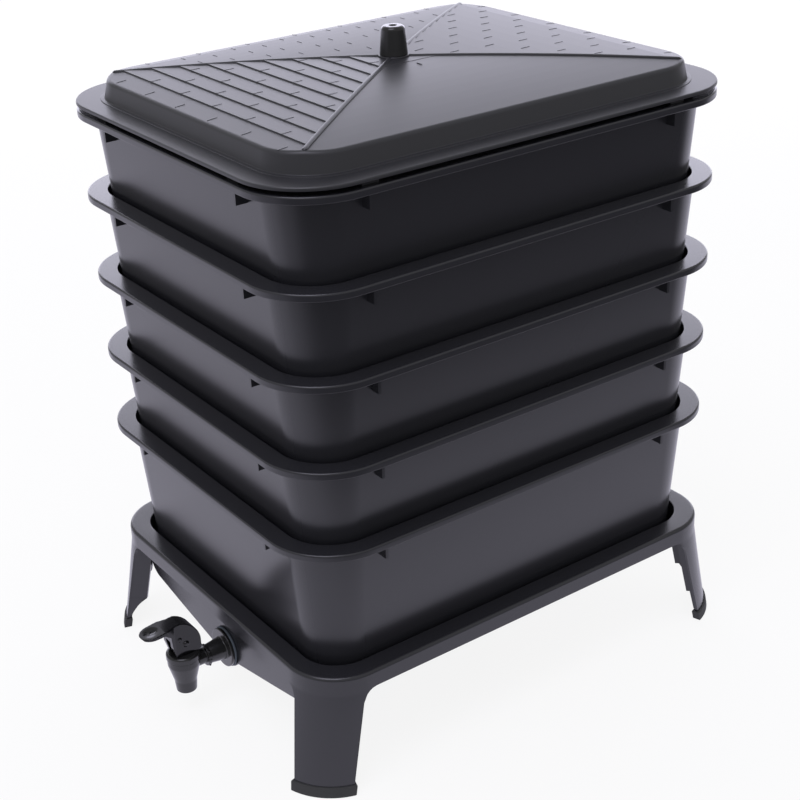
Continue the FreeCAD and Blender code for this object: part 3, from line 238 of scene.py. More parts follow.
class Recipe(Tree):
    """A geometry tree with named inputs, whose result joins the mesh that it is run on."""

    def __init__(self, name: str) -> None:
        """Start a geometry tree.

        Args:
            name: Its name.
        """
        super().__init__(bpy.data.node_groups.new(name, "GeometryNodeTree"))
        face = self.group.interface
        face.new_socket(name="Geometry", in_out="INPUT", socket_type="NodeSocketGeometry")
        face.new_socket(name="Geometry", in_out="OUTPUT", socket_type="NodeSocketGeometry")
        self.source = self.group.nodes.new("NodeGroupInput")
        self.sink = self.group.nodes.new("NodeGroupOutput")

    def given(self, name: str, kind: str = "NodeSocketFloat") -> Value:
        """Add a named input of the tree and return it."""
        self.group.interface.new_socket(name=name, in_out="INPUT", socket_type=kind)
        return Value(self, self.source.outputs[name])

    def numbers(self, *names: str) -> list[Value]:
        """Add named numbers as inputs of the tree and return them."""
        return [self.given(name) for name in names]

    def place(self) -> Value:
        """Where each point of the shape at hand is, split into its parts."""
        spot = self.add("GeometryNodeInputPosition")
        return self.add("ShaderNodeSeparateXYZ", {}, {"Vector": spot})

    def join(self, *shapes: Value) -> Value:
        """Join shapes into one."""
        return self.add("GeometryNodeJoinGeometry", {}, {"Geometry": list(shapes)})

    def grid(self, long: Number, wide: Number, along: Value | int = 2,
             across: Value | int = 2) -> Value:
        """Lay out points in a level grid about the origin.

        Args:
            long: The grid's length along X.
            wide: Its width along Y.
            along: How many points it has along X.
            across: How many points it has along Y.

        Returns:
            The grid.
        """
        return self.add("GeometryNodeMeshGrid", {}, {"Size X": long, "Size Y": wide,
                                                     "Vertices X": along, "Vertices Y": across})

    def move(self, shape: Value, place: Value | Point = (0.0, 0.0, 0.0),
             turn: Value | Point = (0.0, 0.0, 0.0)) -> Value:
        """Turn a shape about the origin, then move it."""
        return self.add("GeometryNodeTransform", {},
                        {"Geometry": shape, "Translation": place, "Rotation": turn})

    def plate(self, sheet: Value, thickness: Number) -> Value:
        """Thicken a flat sheet upwards into a closed plate.

        Args:
            sheet: A flat mesh in the plane z = 0.
            thickness: How thick the plate becomes.

        Returns:
            The closed plate.
        """
        raised = self.add("GeometryNodeExtrudeMesh", {"mode": "FACES"},
                          {"Mesh": sheet, "Offset": (0.0, 0.0, 1.0), "Offset Scale": thickness,
                           "Individual": False})
        bottom = self.add("GeometryNodeFlipFaces", {}, {"Mesh": sheet})
        return self.add("GeometryNodeMergeByDistance", {},
                        {"Geometry": self.join(raised, bottom), "Distance": MERGE_DISTANCE})

    def copies(self, points: Value, shape: Value, turn: Value | None = None) -> Value:
        """Put a copy of a shape at each point.

        Args:
            points: Where the copies go.
            shape: What is copied.
            turn: How far each copy is turned about the three axes, or none.

        Returns:
            The copies, still as instances.
        """
        inputs = {"Points": points, "Instance": shape}
        if turn is not None:
            inputs["Rotation"] = self.add("FunctionNodeEulerToRotation", {}, {"Euler": turn})
        return self.add("GeometryNodeInstanceOnPoints", {}, inputs)

    def finish(self, *shapes: Value) -> "Recipe":
        """Join the shapes with the mesh that comes in, and close the tree.

        Args:
            shapes: The shapes that the tree has made.

        Returns:
            The recipe itself.
        """
        finish = self.given("Finish", "NodeSocketMaterial")
        mesh = Value(self, self.source.outputs["Geometry"])
        plain = self.add("GeometryNodeRealizeInstances", {}, {"Geometry": self.join(mesh, *shapes)})
        dressed = self.add("GeometryNodeSetMaterial", {}, {"Geometry": plain, "Material": finish})
        self.group.links.new(dressed.socket, self.sink.inputs["Geometry"])
        return self

    def run(self, piece: bpy.types.Object, finish: "Finish", sizes: dict[str, object]) -> None:
        """Run the tree on a piece and keep the result as plain mesh.

        Args:
            piece: The piece, whose own mesh goes into the tree.
            finish: The piece's finish.
            sizes: The tree's other inputs by name.
        """
        modifier = piece.modifiers.new(self.group.name, "NODES")
        modifier.node_group = self.group
        inputs = {**sizes, "Finish": finish.material()}
        for item in self.group.interface.items_tree:
            if item.in_out == "INPUT" and item.name in inputs:
                modifier[item.identifier] = inputs[item.name]
        settle(piece)


def settle(piece: bpy.types.Object) -> None:
    """Turn what a piece's modifiers make of it into its plain mesh.

    Args:
        piece: The piece, which has no modifiers afterwards.
    """
    seen = bpy.context.evaluated_depsgraph_get()
    mesh = bpy.data.meshes.new_from_object(piece.evaluated_get(seen))
    piece.modifiers.clear()
    old, piece.data = piece.data, mesh
    bpy.data.meshes.remove(old)


# Finishes

# Dust in the grain: how much it lightens the base colour, adds to it and darkens it between specks.
DUST_GAIN = 2.5
DUST_BASE = 0.006
DUST_LOSS = 0.25
# How much of a plastic's shade follows its fine grain; the rest follows the smudges.
GRAIN_SHARE = 0.7


@dataclass(frozen=True)
class Finish:
    """What a piece is made of, with a plain surface.

    Attributes:
        name: What the finish is called.
        colour: Its base colour.
    """

    name: str
    colour: Colour

    @cache
    def material(self) -> bpy.types.Material:
        """Take the material of that name that came with the frame, or else build it once.

        Returns:
            The material.
        """
        if self.name in bpy.data.materials:
            return bpy.data.materials[self.name]
        material = bpy.data.materials.new(self.name)
        material.use_nodes = True
        surface = material.node_tree.nodes["Principled BSDF"]
        surface.inputs["Base Color"].default_value = (*self.colour, 1.0)
        material.diffuse_color = (*self.colour, 1.0)
        tree = Tree(material.node_tree)
        tree.fill(surface, self.looks(tree))
        return material

    def looks(self, tree: Tree) -> dict[str, Number]:
        """What the surface shader gets besides the base colour."""
        return {}


@dataclass(frozen=True)
class MouldedPlastic(Finish):
    """Black injection moulded plastic: a fine tool grain, faint draw marks and handling smudges.

    Attributes:
        roughness: How blurred its gloss is.
        smudge: How much the roughness wanders.
        grain: Height of the fine grain.
        grain_size: Width of one speck of the grain.
        draw: Height of the upright draw marks.
        draw_size: Width of one draw mark.
        draw_stretch: How many times longer than wide a draw mark is.
        wave: Height of the slow waviness of a thin wall.
        wave_size: Width of one wave.
        smear_size: Width of one smudge.
        dust: How much pale dust lies in the grain, nought to one.
        index: Its index of refraction.
    """

    roughness: float
    smudge: float = 0.05
    grain: float = 4e-6
    grain_size: float = 7e-4
    draw: float = 0.0
    draw_size: float = 2.6 * MM
    draw_stretch: float = 60.0
    wave: float = 0.0
    wave_size: float = 0.07
    smear_size: float = 0.045
    dust: float = 0.0
    index: float = 1.58

    def looks(self, tree: Tree) -> dict[str, Number]:
        """The dusty grain, the draw marks, the waves and the smudges.

        Args:
            tree: The material's tree.

        Returns:
            The surface shader's inputs by name.
        """
        place = tree.coordinates()
        smear = tree.noise(place, self.smear_size, detail=4.0)
        fine = tree.noise(place, self.grain_size, detail=1.0)
        rough = (self.roughness + (smear - 0.5) * self.smudge * 2.0).held()
        height = fine * self.grain
        if self.draw > 0.0:
            marks = tree.noise(place, self.draw_size, stretch=(1.0, 1.0, self.draw_stretch))
            height = height + marks * self.draw
        if self.wave > 0.0:
            height = height + tree.noise(place, self.wave_size, detail=0.0) * self.wave
        pale = tuple(part * (1.0 + DUST_GAIN * self.dust) + DUST_BASE * self.dust
                     for part in self.colour)
        dark = tuple(part * (1.0 - DUST_LOSS * self.dust) for part in self.colour)
        shade = tree.blend(fine * GRAIN_SHARE + smear * (1.0 - GRAIN_SHARE),
                           (*dark, 1.0), (*pale, 1.0))
        return {"Base Color": shade, "Roughness": rough, "Normal": tree.bump(height),
                "IOR": self.index}


@dataclass(frozen=True)
class Rubber(Finish):
    """Soft matte rubber with a fine grain and patches of a paler and rougher bloom."""

    bloom: float = 1.5
    bloom_size: float = 4 * MM
    roughness: float = 0.5
    bloom_roughness: float = 0.2
    grain: float = 8e-6
    grain_size: float = 0.5 * MM

    def looks(self, tree: Tree) -> dict[str, Number]:
        """The patches of bloom and the grain.

        Args:
            tree: The material's tree.

        Returns:
            The surface shader's inputs by name.
        """
        place = tree.coordinates()
        patch = tree.noise(place, self.bloom_size, detail=5.0)
        pale = tuple(part * self.bloom for part in self.colour)
        return {"Base Color": tree.blend(patch, (*self.colour, 1.0), (*pale, 1.0)),
                "Roughness": patch * self.bloom_roughness + self.roughness,
                "Normal": tree.bump(tree.noise(place, self.grain_size) * self.grain)}


@dataclass(frozen=True)
class DrawnSteel(Finish):
    """Bright steel with fine draw lines, so many times longer along each axis than they are wide."""

    lines: Point = (1.0, 1.0, 12.0)
    line_size: float = 0.25 * MM
    line_depth: float = 3e-6
    roughness: float = 0.15
    line_roughness: float = 0.3

    def looks(self, tree: Tree) -> dict[str, Number]:
        """The draw lines on bare metal.

        Args:
            tree: The material's tree.

        Returns:
            The surface shader's inputs by name.
        """
        line = tree.noise(tree.coordinates(), self.line_size, stretch=self.lines)
        return {"Roughness": line * self.line_roughness + self.roughness, "Metallic": 1.0,
                "Normal": tree.bump(line * self.line_depth)}


TRAY_PLASTIC = MouldedPlastic("tray_plastic", (0.0135, 0.0135, 0.015), 0.15, smudge=0.03,
                              grain=2.0e-6, draw=2.5e-6, wave=9e-5)
LID_PLASTIC = MouldedPlastic("lid_plastic", (0.0145, 0.0145, 0.0160), 0.31, smudge=0.05,
                             grain=9e-6, grain_size=8e-4, dust=0.25)
BASE_PLASTIC = MouldedPlastic("base_plastic", (0.016, 0.016, 0.0175), 0.22, smudge=0.04,
                              grain=2.5e-6, wave=3e-5)
FOOT_PLASTIC = MouldedPlastic("foot_plastic", (0.035, 0.035, 0.037), 0.42, smudge=0.06,
                              grain=1.2e-5)
# The knob's plastic is a little paler than the tap's: partly its own tone, partly painted light
# standing in for the side highlights that no lamp here gives.
KNOB_PLASTIC = MouldedPlastic("knob_plastic", (0.018, 0.018, 0.020), 0.15, smudge=0.02, grain=1e-6)
TAP_PLASTIC = MouldedPlastic("tap_plastic", (0.013, 0.013, 0.014), 0.16, smudge=0.03, grain=2e-6)
# The lever's plastic is a darker, less reflective copy of the tap's: painted shade for the dark
# surroundings that the lever mirrors.
DARKENED_LEVER_PLASTIC = MouldedPlastic("lever_plastic", (0.007, 0.007, 0.008), 0.12, smudge=0.03,
                               grain=1e-6, index=1.42)
STEM_PLASTIC = MouldedPlastic("stem_plastic", (0.03, 0.03, 0.032), 0.3)
WASHER_RUBBER = Rubber("washer_rubber", (0.07, 0.09, 0.13))
VALVE_RUBBER = Rubber("valve_rubber", (0.03, 0.03, 0.03))
STEEL = DrawnSteel("steel", (0.58, 0.58, 0.58))


# Outlines and meshes

@dataclass(frozen=True)
class Outline:
    """A rectangle with round corners about the stack's axis, in metres.

    Attributes:
        half_x: Half of its length.
        half_y: Half of its width.
        radius: Its corner radius.
    """

    half_x: float
    half_y: float
    radius: float

    def grown(self, by: float) -> "Outline":
        """The outline that runs evenly outside this one."""
        return Outline(self.half_x + by, self.half_y + by, self.radius + by)

    def points(self, angles: Sequence[float], run_out: Sequence[float] = ()) -> list[Flat]:
        """Walk round the outline, anticlockwise from the +X side.

        Args:
            angles: Places on a corner's arc, rising from 0 at the +X end to a quarter turn.
            run_out: Distances past the arc's ends, on the straight sides, rising.

        Returns:
            The points, four equal corners in turn.
        """
        corner = [(self.half_x, self.half_y - self.radius - far) for far in reversed(run_out)]
        corner += [(self.half_x - self.radius * (1 - math.cos(angle)),
                    self.half_y - self.radius * (1 - math.sin(angle))) for angle in angles]
        corner += [(self.half_x - self.radius - far, self.half_y) for far in run_out]
        back = corner[::-1]
        return (corner + [(-x, y) for x, y in back] + [(-x, -y) for x, y in corner]
                + [(x, -y) for x, y in back])

    def carry(self, spot: Flat, other: "Outline") -> Flat:
        """Move a point of this outline to the same place of another outline.

        Args:
            spot: The point.
            other: The other outline.

        Returns:
            The point on the other outline.
        """
        place = []
        for here, half, half_there in ((spot[0], self.half_x, other.half_x),
                                       (spot[1], self.half_y, other.half_y)):
            straight = half - self.radius
            along = max(-straight, min(straight, here))
            turn = (here - along) / self.radius
            place.append(along * (half_there - other.radius) / straight + other.radius * turn)
        return place[0], place[1]


def corner_angles(count: int) -> list[float]:
    """Even steps over a quarter turn."""
    return [QUARTER_TURN * step / count for step in range(count + 1)]


def rounded(corners: Sequence[tuple[float, float, float]], steps: int = 5) -> list[Flat]:
    """Round the corners of a closed flat outline.

    Args:
        corners: Each corner as (x, y, radius).
        steps: How many straight pieces a round corner has.

    Returns:
        The outline's points.
    """
    path: list[Flat] = []
    for number, (x, y, radius) in enumerate(corners):
        if radius <= 0.0:
            path.append((x, y))
            continue
        here = Vector((x, y))
        ahead = Vector(corners[(number + 1) % len(corners)][:2]) - here
        behind = Vector(corners[number - 1][:2]) - here
        half = behind.angle(ahead) / 2
        reach = min(radius / math.tan(half), 0.49 * min(ahead.length, behind.length))
        radius = reach * math.tan(half)
        inwards = (ahead.normalized() + behind.normalized()).normalized()
        middle = here + inwards * radius / math.sin(half)
        start = here + behind.normalized() * reach - middle
        turn = (QUARTER_TURN - half) * 2 * (1 if behind.cross(ahead) > 0 else -1)
        for step in range(steps + 1):
            spot = middle + Matrix.Rotation(-turn * step / steps, 2) @ start
            path.append((spot.x, spot.y))
    return path


class Draft:
    """A mesh in the making, in metres in the shared frame."""

    def __init__(self) -> None:
        """Start with nothing."""
        self.mesh = bmesh.new()

    def points(self, places: Sequence[Point]) -> Row:
        """Add points."""
        return [self.mesh.verts.new(place) for place in places]

    def skin(self, rings: Sequence[Sequence[Point]], closed: bool = False) -> None:
        """Span rings of equally many points with faces.

        Args:
            rings: The rings in turn, each closed on itself.
            closed: Whether the last ring joins the first. Otherwise both ends get a lid.
        """
        loops = [self.points(ring) for ring in rings]
        for low, high in zip(loops, loops[1:] + (loops[:1] if closed else [])):
            self.span(low, high, len(low))
        if not closed:
            self.mesh.faces.new(loops[0][::-1])
            self.mesh.faces.new(loops[-1])

    def span(self, low: Row, high: Row, count: int) -> None:
        """Span two rows of equally many points with faces.

        Args:
            low: The first row.
            high: The second row.
            count: How many faces there are, as many as points where the rows are closed rings.
        """
        for number in range(count):
            after = (number + 1) % len(low)
            self.mesh.faces.new((low[number], low[after], high[after], high[number]))

    def lathe(self, profile: Sequence[Flat], turned: Matrix, closed: bool = False,
              segments: int = LATHE_SEGMENTS) -> None:
        """Turn a profile into a round solid.

        Args:
            profile: Points as (radius, height) along the axis.
            turned: Where the axis' foot is and how the axis lies.
            closed: Whether the profile is a closed loop, as on a ring.
            segments: How many sides the round has.
        """
        spots = [2 * math.pi * side / segments for side in range(segments)]
        self.skin([[tuple(turned @ Vector((max(radius, 0.0) * math.cos(spot),
                                           max(radius, 0.0) * math.sin(spot), height)))
                    for spot in spots] for radius, height in profile], closed)

    def piece(self, name: str, finish: Finish) -> bpy.types.Object:
        """Weld the mesh, turn its faces outwards and make it an object.

        Args:
            name: The object's name.
            finish: Its finish.

        Returns:
            The object, at the origin.
        """
        bmesh.ops.remove_doubles(self.mesh, verts=self.mesh.verts, dist=MERGE_DISTANCE)
        bmesh.ops.dissolve_degenerate(self.mesh, edges=self.mesh.edges, dist=MERGE_DISTANCE)
        bmesh.ops.recalc_face_normals(self.mesh, faces=self.mesh.faces)
        data = bpy.data.meshes.new(name)
        self.mesh.to_mesh(data)
        self.mesh.free()
        data.materials.append(finish.material())
        piece = bpy.data.objects.new(name, data)
        bpy.context.scene.collection.objects.link(piece)
        return piece


def outward(piece: bpy.types.Object) -> None:
    """Turn every closed shell of a piece's mesh outwards.

    Args:
        piece: The piece.
    """
    mesh = bmesh.new()
    mesh.from_mesh(piece.data)
    bmesh.ops.recalc_face_normals(mesh, faces=mesh.faces)
    mesh.to_mesh(piece.data)
    mesh.free()


def smooth(piece: bpy.types.Object, angle: float = SHARP_ANGLE) -> None:
    """Shade a piece smoothly, its flat faces kept flat.

    Args:
        piece: The piece.
        angle: Edges between faces that meet at more than this stay sharp.
    """
    piece.data.shade_smooth()
    piece.data.set_sharp_from_angle(angle=angle)
    weigh = piece.modifiers.new("flat faces", "WEIGHTED_NORMAL")
    weigh.keep_sharp = True
    settle(piece)


def hand_over(piece: bpy.types.Object, body: str, node: str) -> None:
    """Attach a finished piece to its body and hide the node that it stands for.

    Args:
        piece: The piece.
        body: The body that it rides on.
        node: The node that it replaces.
    """
    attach(piece, body)
    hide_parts(node)
    LOG.info("%s rides on %s with %d faces", piece.name, body, len(piece.data.polygons))


# The stack's own place

@cache
def stack_axis() -> float:
    """The place of the stack's upright axis along X."""
    low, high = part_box("tray_1")
    return (low.x + high.x) / 2


def ring(outline: Outline, height: float, angles: Sequence[float]) -> list[Point]:
    """One level ring of an outline about the stack's axis."""
    return [(stack_axis() + x, y, height) for x, y in outline.points(angles)]


# Trays

FLOOR_CORNER_STEPS = 12


@dataclass
class Tray:
    """One tapering tray with a turned down flange, bracket ribs, stacking ribs and a holed floor."""

    number: int
    corner: float = 58 * MM
    overhang: float = 14 * MM
    draft: float = 0.08
    wall: float = 2.5 * MM
    plate: float = 2.5 * MM
    lip_height: float = 6 * MM
    lip_wall: float = 2.5 * MM
    edge_round: float = 1.7 * MM
    rib_wall: float = 2.5 * MM
    bracket_drop: float = 19 * MM
    bracket_reach: float = 7.5 * MM
    stack_rib_reach: float = 9 * MM
    stack_rib_top: float = 70 * MM
    span_long: float = 145 * MM
    span_short: float = 100 * MM
    hole_radius: float = 3.5 * MM
    hole_pitch: float = 33 * MM
    holes_long: int = 11
    holes_short: int = 9
    floor_play: float = 0.05 * MM
    floor_rim: float = 5 * MM
    arc_steps: int = 20

    def __post_init__(self) -> None:
        """Read the tray's place and outer sizes from the frame."""
        low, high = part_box(self.node)
        self.bottom = low.z
        self.depth = high.z - low.z
        flange = Outline((high.x - low.x) / 2, (high.y - low.y) / 2, self.corner)
        self.rim = flange.grown(-self.overhang)

    @property
    def node(self) -> str:
        """The name of the tray's node and body."""
        return "tray_%d" % self.number

    def profile(self) -> list[Flat]:
        """The section of the wall, flange and floor edge.

        Returns:
            Its points as (offset from the rim line, height above the bottom).
        """
        depth, lean = self.depth, self.depth * self.draft
        under, lip = depth - self.plate, self.overhang - self.lip_wall
        inside = -lean - self.wall + self.plate * self.draft
        return rounded([
            (-lean, 0.0, 1.5 * MM), (-self.plate * self.draft, under, 1.2 * MM),
            (lip, under, 0.6 * MM), (lip, depth - self.lip_height, 0.4 * MM),
            (self.overhang, depth - self.lip_height, 0.7 * MM),
            (self.overhang, depth, self.edge_round), (-self.wall, depth, 0.8 * MM),
            (inside, self.wall, 3 * MM), (-lean - self.floor_rim, self.wall, 0.0),
            (-lean - self.floor_rim, 0.0, 0.0)])

    def build(self) -> None:
        """Build the tray as one piece."""
        draft = Draft()
        angles = corner_angles(self.arc_steps)
        draft.skin([ring(self.rim.grown(offset), self.bottom + height, angles)
                    for offset, height in self.profile()], closed=True)
        piece = draft.piece(self.node + "_moulding", TRAY_PLASTIC)
        floor = self.rim.grown(-self.depth * self.draft - self.floor_rim)
        floor_recipe().run(piece, TRAY_PLASTIC, {
            "Half Length": floor.half_x, "Half Width": floor.half_y, "Corner": floor.radius,
            "Thickness": self.wall - self.floor_play * 2, "Hole Radius": self.hole_radius,
            "Hole Pitch": self.hole_pitch, "Holes Along": self.holes_long,
            "Holes Across": self.holes_short,
            "Place": (stack_axis(), 0.0, self.bottom + self.floor_play)})
        rib_recipe().run(piece, TRAY_PLASTIC, {
            "Half Length": self.rim.half_x, "Half Width": self.rim.half_y,
            "Span Long": self.span_long, "Span Short": self.span_short,
            "Thickness": self.rib_wall, "Depth": self.depth, "Draft": self.draft,
            "Root": self.wall / 2, "Bracket Low": self.depth - self.bracket_drop,
            "Bracket Top": self.depth - self.plate / 2, "Bracket Reach": self.bracket_reach,
            "Stack Top": self.stack_rib_top, "Stack Reach": self.stack_rib_reach,
            "Stack Low": self.wall / 2, "Place": (stack_axis(), 0.0, self.bottom)})
        outward(piece)
        smooth(piece)
        hand_over(piece, self.node, self.node)


@cache
def floor_recipe() -> Recipe:
    """Build the tree of a plate with round corners and a grid of round holes.

    Returns:
        The recipe.
    """
    recipe = Recipe("holed floor")
    half_x, half_y, corner, thickness = recipe.numbers("Half Length", "Half Width", "Corner",
                                                       "Thickness")
    radius, pitch = recipe.numbers("Hole Radius", "Hole Pitch")
    along = recipe.given("Holes Along", "NodeSocketInt")
    across = recipe.given("Holes Across", "NodeSocketInt")
    place = recipe.given("Place", "NodeSocketVector")
    rim = recipe.add("GeometryNodeCurvePrimitiveQuadrilateral", {"mode": "RECTANGLE"},
                     {"Width": half_x * 2.0, "Height": half_y * 2.0})
    rim = recipe.add("GeometryNodeFilletCurve", {"mode": "POLY"},
                     {"Curve": rim, "Radius": corner, "Count": FLOOR_CORNER_STEPS})
    hole = recipe.add("GeometryNodeCurvePrimitiveCircle", {"mode": "RADIUS"},
                      {"Resolution": SMALL_ROUND_SIDES, "Radius": radius})
    grid = recipe.grid((along - 1.0) * pitch, (across - 1.0) * pitch, along, across)
    holes = recipe.add("GeometryNodeRealizeInstances", {}, {"Geometry": recipe.copies(grid, hole)})
    sheet = recipe.add("GeometryNodeFillCurve", {"mode": "TRIANGLES"},
                       {"Curve": recipe.join(rim, holes)})
    return recipe.finish(recipe.move(recipe.plate(sheet, thickness), place))


@cache
def rib_recipe() -> Recipe:
    """Build the tree of eight pairs of upright ribs on a tray's walls, two pairs on each side.

    Returns:
        The recipe.
    """
    recipe = Recipe("ribs")
    half_x, half_y, span_long, span_short = recipe.numbers("Half Length", "Half Width",
                                                           "Span Long", "Span Short")
    thickness, depth, draft, root = recipe.numbers("Thickness", "Depth", "Draft", "Root")
    low, top, reach = recipe.numbers("Bracket Low", "Bracket Top", "Bracket Reach")
    stack_low, stack_top, stack_reach = recipe.numbers("Stack Low", "Stack Top", "Stack Reach")
    place = recipe.given("Place", "NodeSocketVector")

    def wall_at(height: Value) -> Value:
        """The middle of the wall, out from the rim line, at a height above the tray's bottom."""
        return (height - depth) * draft - root

    def upright(corners: list[Value]) -> Value:
        """A closed upright plate in the XZ plane.

        Args:
            corners: Its four corners in turn.

        Returns:
            The plate.
        """
        names = ("Point 1", "Point 2", "Point 3", "Point 4")
        line = recipe.add("GeometryNodeCurvePrimitiveQuadrilateral", {"mode": "POINTS"},
                          dict(zip(names, corners)))
        sheet = recipe.add("GeometryNodeFillCurve", {"mode": "TRIANGLES"}, {"Curve": line})
        flat = recipe.move(recipe.plate(sheet, thickness), recipe.vector(z=thickness * -0.5))
        return recipe.move(flat, turn=(QUARTER_TURN, 0.0, 0.0))

    foot = wall_at(stack_low)
    bracket = upright([recipe.vector(wall_at(low), low), recipe.vector(reach, low),
                       recipe.vector(reach, top), recipe.vector(wall_at(top), top)])
    stack = upright([recipe.vector(foot - stack_reach, stack_low), recipe.vector(foot, stack_low),
                     recipe.vector(wall_at(stack_top), stack_top),
                     recipe.vector(foot - stack_reach, stack_top)])
    pair = recipe.join(bracket, stack)

    def around(size_x: Value, size_y: Value, lengthwise: bool) -> Value:
        """Copies of the ribs at the four points of two facing sides, turned outwards.

        Args:
            size_x: How far the points are from the middle along X.
            size_y: How far they are from it along Y.
            lengthwise: Whether the two sides are the long ones.

        Returns:
            The copies.
        """
        grid, spot = recipe.grid(size_x * 2.0, size_y * 2.0), recipe.place()
        if lengthwise:
            turn = (spot.part("Y").above(0.0) - 0.5) * math.pi
        else:
            turn = (1.0 - spot.part("X").above(0.0)) * math.pi
        return recipe.copies(grid, pair, recipe.vector(z=turn))

    ribs = recipe.join(around(half_x, span_short, False), around(span_long, half_y, True))
    return recipe.finish(recipe.move(ribs, place))


# Lid

HIP_TOLERANCE = 1e-5
ANGLE_TOLERANCE = 1e-7
BATTEN_POINTS = 301
# The share of a batten that tapers at each end, and what remains of its size at the tip.
BATTEN_TAPER = 0.012
BATTEN_TIP = 0.001
# The most tile joints across one course, and how far they keep from the hips.
JOINTS_ACROSS = 10
HIP_GAP = 4 * MM


class RoofSide(Enum):
    """The four faces of the hip roof, by the turn that points down each of them."""

    RIGHT = 0
    BACK = 1
    LEFT = 2
    FRONT = 3

    def bond(self) -> Flat:
        """How far the tile joints of the even and the odd courses stand beside the face's middle."""
        return {RoofSide.RIGHT: (0.0, 24 * MM), RoofSide.LEFT: (8 * MM, -16.5 * MM)}.get(
            self, (22 * MM, 0.0))


@dataclass
class Lid:
    """A lid with a flange, a raised part and a gently domed hip roof in stepped courses."""

    flange_corner: float = 58 * MM
    plate: float = 3 * MM
    shell: float = 2.6 * MM
    margin: float = 20.5 * MM
    corner: float = 45 * MM
    rise: float = 15 * MM
    lean: float = 0.25
    roof_rise: float = 9.5 * MM
    eaves_round: float = 3.6 * MM
    eaves_reach: float = 0.78
    eaves_steps: int = 6
    ledge_width: float = 3.2 * MM
    ledge_height: float = 0.6 * MM
    ledge_round: float = 0.7 * MM
    flange_round: float = 1.4 * MM
    rim_inset: float = 17.7 * MM
    rim_corner: float = 40.3 * MM
    rim_wall: float = 2.6 * MM
    rim_drop: float = 9 * MM
    course_start: float = 0.058
    course_step: float = 0.0905
    course_count: int = 10
    course_height: float = 0.9 * MM
    riser: float = 0.0016
    front_courses: int = 2
    front_height: float = 0.45 * MM
    apex_share: float = 0.02
    hip_spread: float = math.radians(3.2)
    knob_pad_radius: float = 12.4 * MM
    knob_pad_rise: float = 1.2 * MM
    batten_width: float = 4.2 * MM
    batten_height: float = 1.25 * MM
    batten_share: float = 0.905
    tick_pitch: float = 47.8 * MM
    tick_length: float = 0.47
    tick_width: float = 0.55 * MM
    tick_height: float = 0.24 * MM
    pad_inset: float = 9.4 * MM
    pad_span_long: float = 145 * MM
    pad_span_short: float = 100 * MM
    pad_long: float = 14 * MM
    pad_wide: float = 6.8 * MM
    pad_sunk: float = 0.8 * MM
    arc_half_steps: int = 9
    inner_shares: tuple[float, ...] = (0.25, 0.5, 0.72)
    sharp_angle: float = math.radians(28.0)

    def __post_init__(self) -> None:
        """Read the lid's place and outer sizes from the frame."""
        low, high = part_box("lid")
        self.flange = Outline((high.x - low.x) / 2, (high.y - low.y) / 2, self.flange_corner)
        self.knob_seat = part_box("lid_knob")[0].z
        self.eaves = self.knob_seat - self.knob_pad_rise - self.roof_rise
        self.base = self.eaves - self.rise - self.plate
        self.foot = Outline(self.flange.half_x - self.margin, self.flange.half_y - self.margin,
                            self.corner)
        self.angles = self.hip_angles()

    def hip_angles(self) -> list[float]:
        """Places on a corner's arc, one of them on the hip line and two close beside it.

        Returns:
            The angles, rising.
        """
        straight_x = self.foot.half_x - self.corner
        straight_y = self.foot.half_y - self.corner

        def past_hip(angle: float) -> float:
            """How far a point of the corner's arc lies past the hip line."""
            return ((straight_y + self.corner * math.sin(angle)) / self.foot.half_y
                    - (straight_x + self.corner * math.cos(angle)) / self.foot.half_x)

        low, high = 0.0, QUARTER_TURN
        while high - low > ANGLE_TOLERANCE:
            middle = (low + high) / 2
            low, high = (low, middle) if past_hip(middle) > 0 else (middle, high)
        before, after = low - self.hip_spread, low + self.hip_spread
        steps = self.arc_half_steps
        return ([before * step / steps for step in range(steps + 1)] + [low]
                + [after + (QUARTER_TURN - after) * step / steps for step in range(steps + 1)])

    def share(self, spot: Flat) -> float:
        """How far a place is from the apex to the square eaves, nought to one."""
        return max(abs(spot[0]) / self.foot.half_x, abs(spot[1]) / self.foot.half_y)

    def roof(self, share: float) -> float:
        """The roof's height at a share of the way down from the apex."""
        return self.eaves + self.roof_rise * (1.0 - share * share)

    def side(self, spot: Flat) -> RoofSide | None:
        """The roof face that a place lies on.

        Args:
            spot: The place, from the stack's axis.

        Returns:
            The face, or none on a hip.
        """
        across = abs(spot[0]) / self.foot.half_x - abs(spot[1]) / self.foot.half_y
        if abs(across) < HIP_TOLERANCE:
            return None
        if across > 0:
            return RoofSide.RIGHT if spot[0] > 0 else RoofSide.LEFT
        return RoofSide.BACK if spot[1] > 0 else RoofSide.FRONT

    def step(self, side: RoofSide | None, course: int) -> float:
        """The height of the step at the lower end of a course.

        Args:
            side: The roof face, or none on a hip.
            course: The course's number, from nought at the apex.

        Returns:
            The height.
        """
        if side is None:
            return 0.0
        if side is RoofSide.FRONT:
            return self.front_height / (course + 1) if course < self.front_courses else 0.0
        return self.course_height

    def roof_rings(self, rim: list[Flat], lower: float = 0.0) -> list[list[Point]]:
        """The roof's stepped rings from the apex down to the last course line.

        Args:
            rim: The roof's outer line, whose points give the rings' directions.
            lower: How far under the roof's surface the rings lie; then they have no steps.

        Returns:
            The rings.
        """
        def at(share: float, course: int | None) -> list[Point]:
            """One ring.

            Args:
                share: How far down from the apex it lies.
                course: The course whose step raises it, or none.

            Returns:
                The ring's points.
            """
            points = []
            for spot in rim:
                times = share / self.share(spot)
                up = 0.0 if course is None else self.step(self.side(spot), course)
                points.append((stack_axis() + spot[0] * times, spot[1] * times,
                               self.roof(share) - lower + up))
            return points

        if lower:
            return [at(share, None) for share in (self.apex_share, *self.inner_shares)]
        rings = [at(self.apex_share, None)]
        for course in range(self.course_count):
            line = self.course_start + self.course_step * course
            rings += [at(line - self.riser, course), at(line, None)]
        return rings

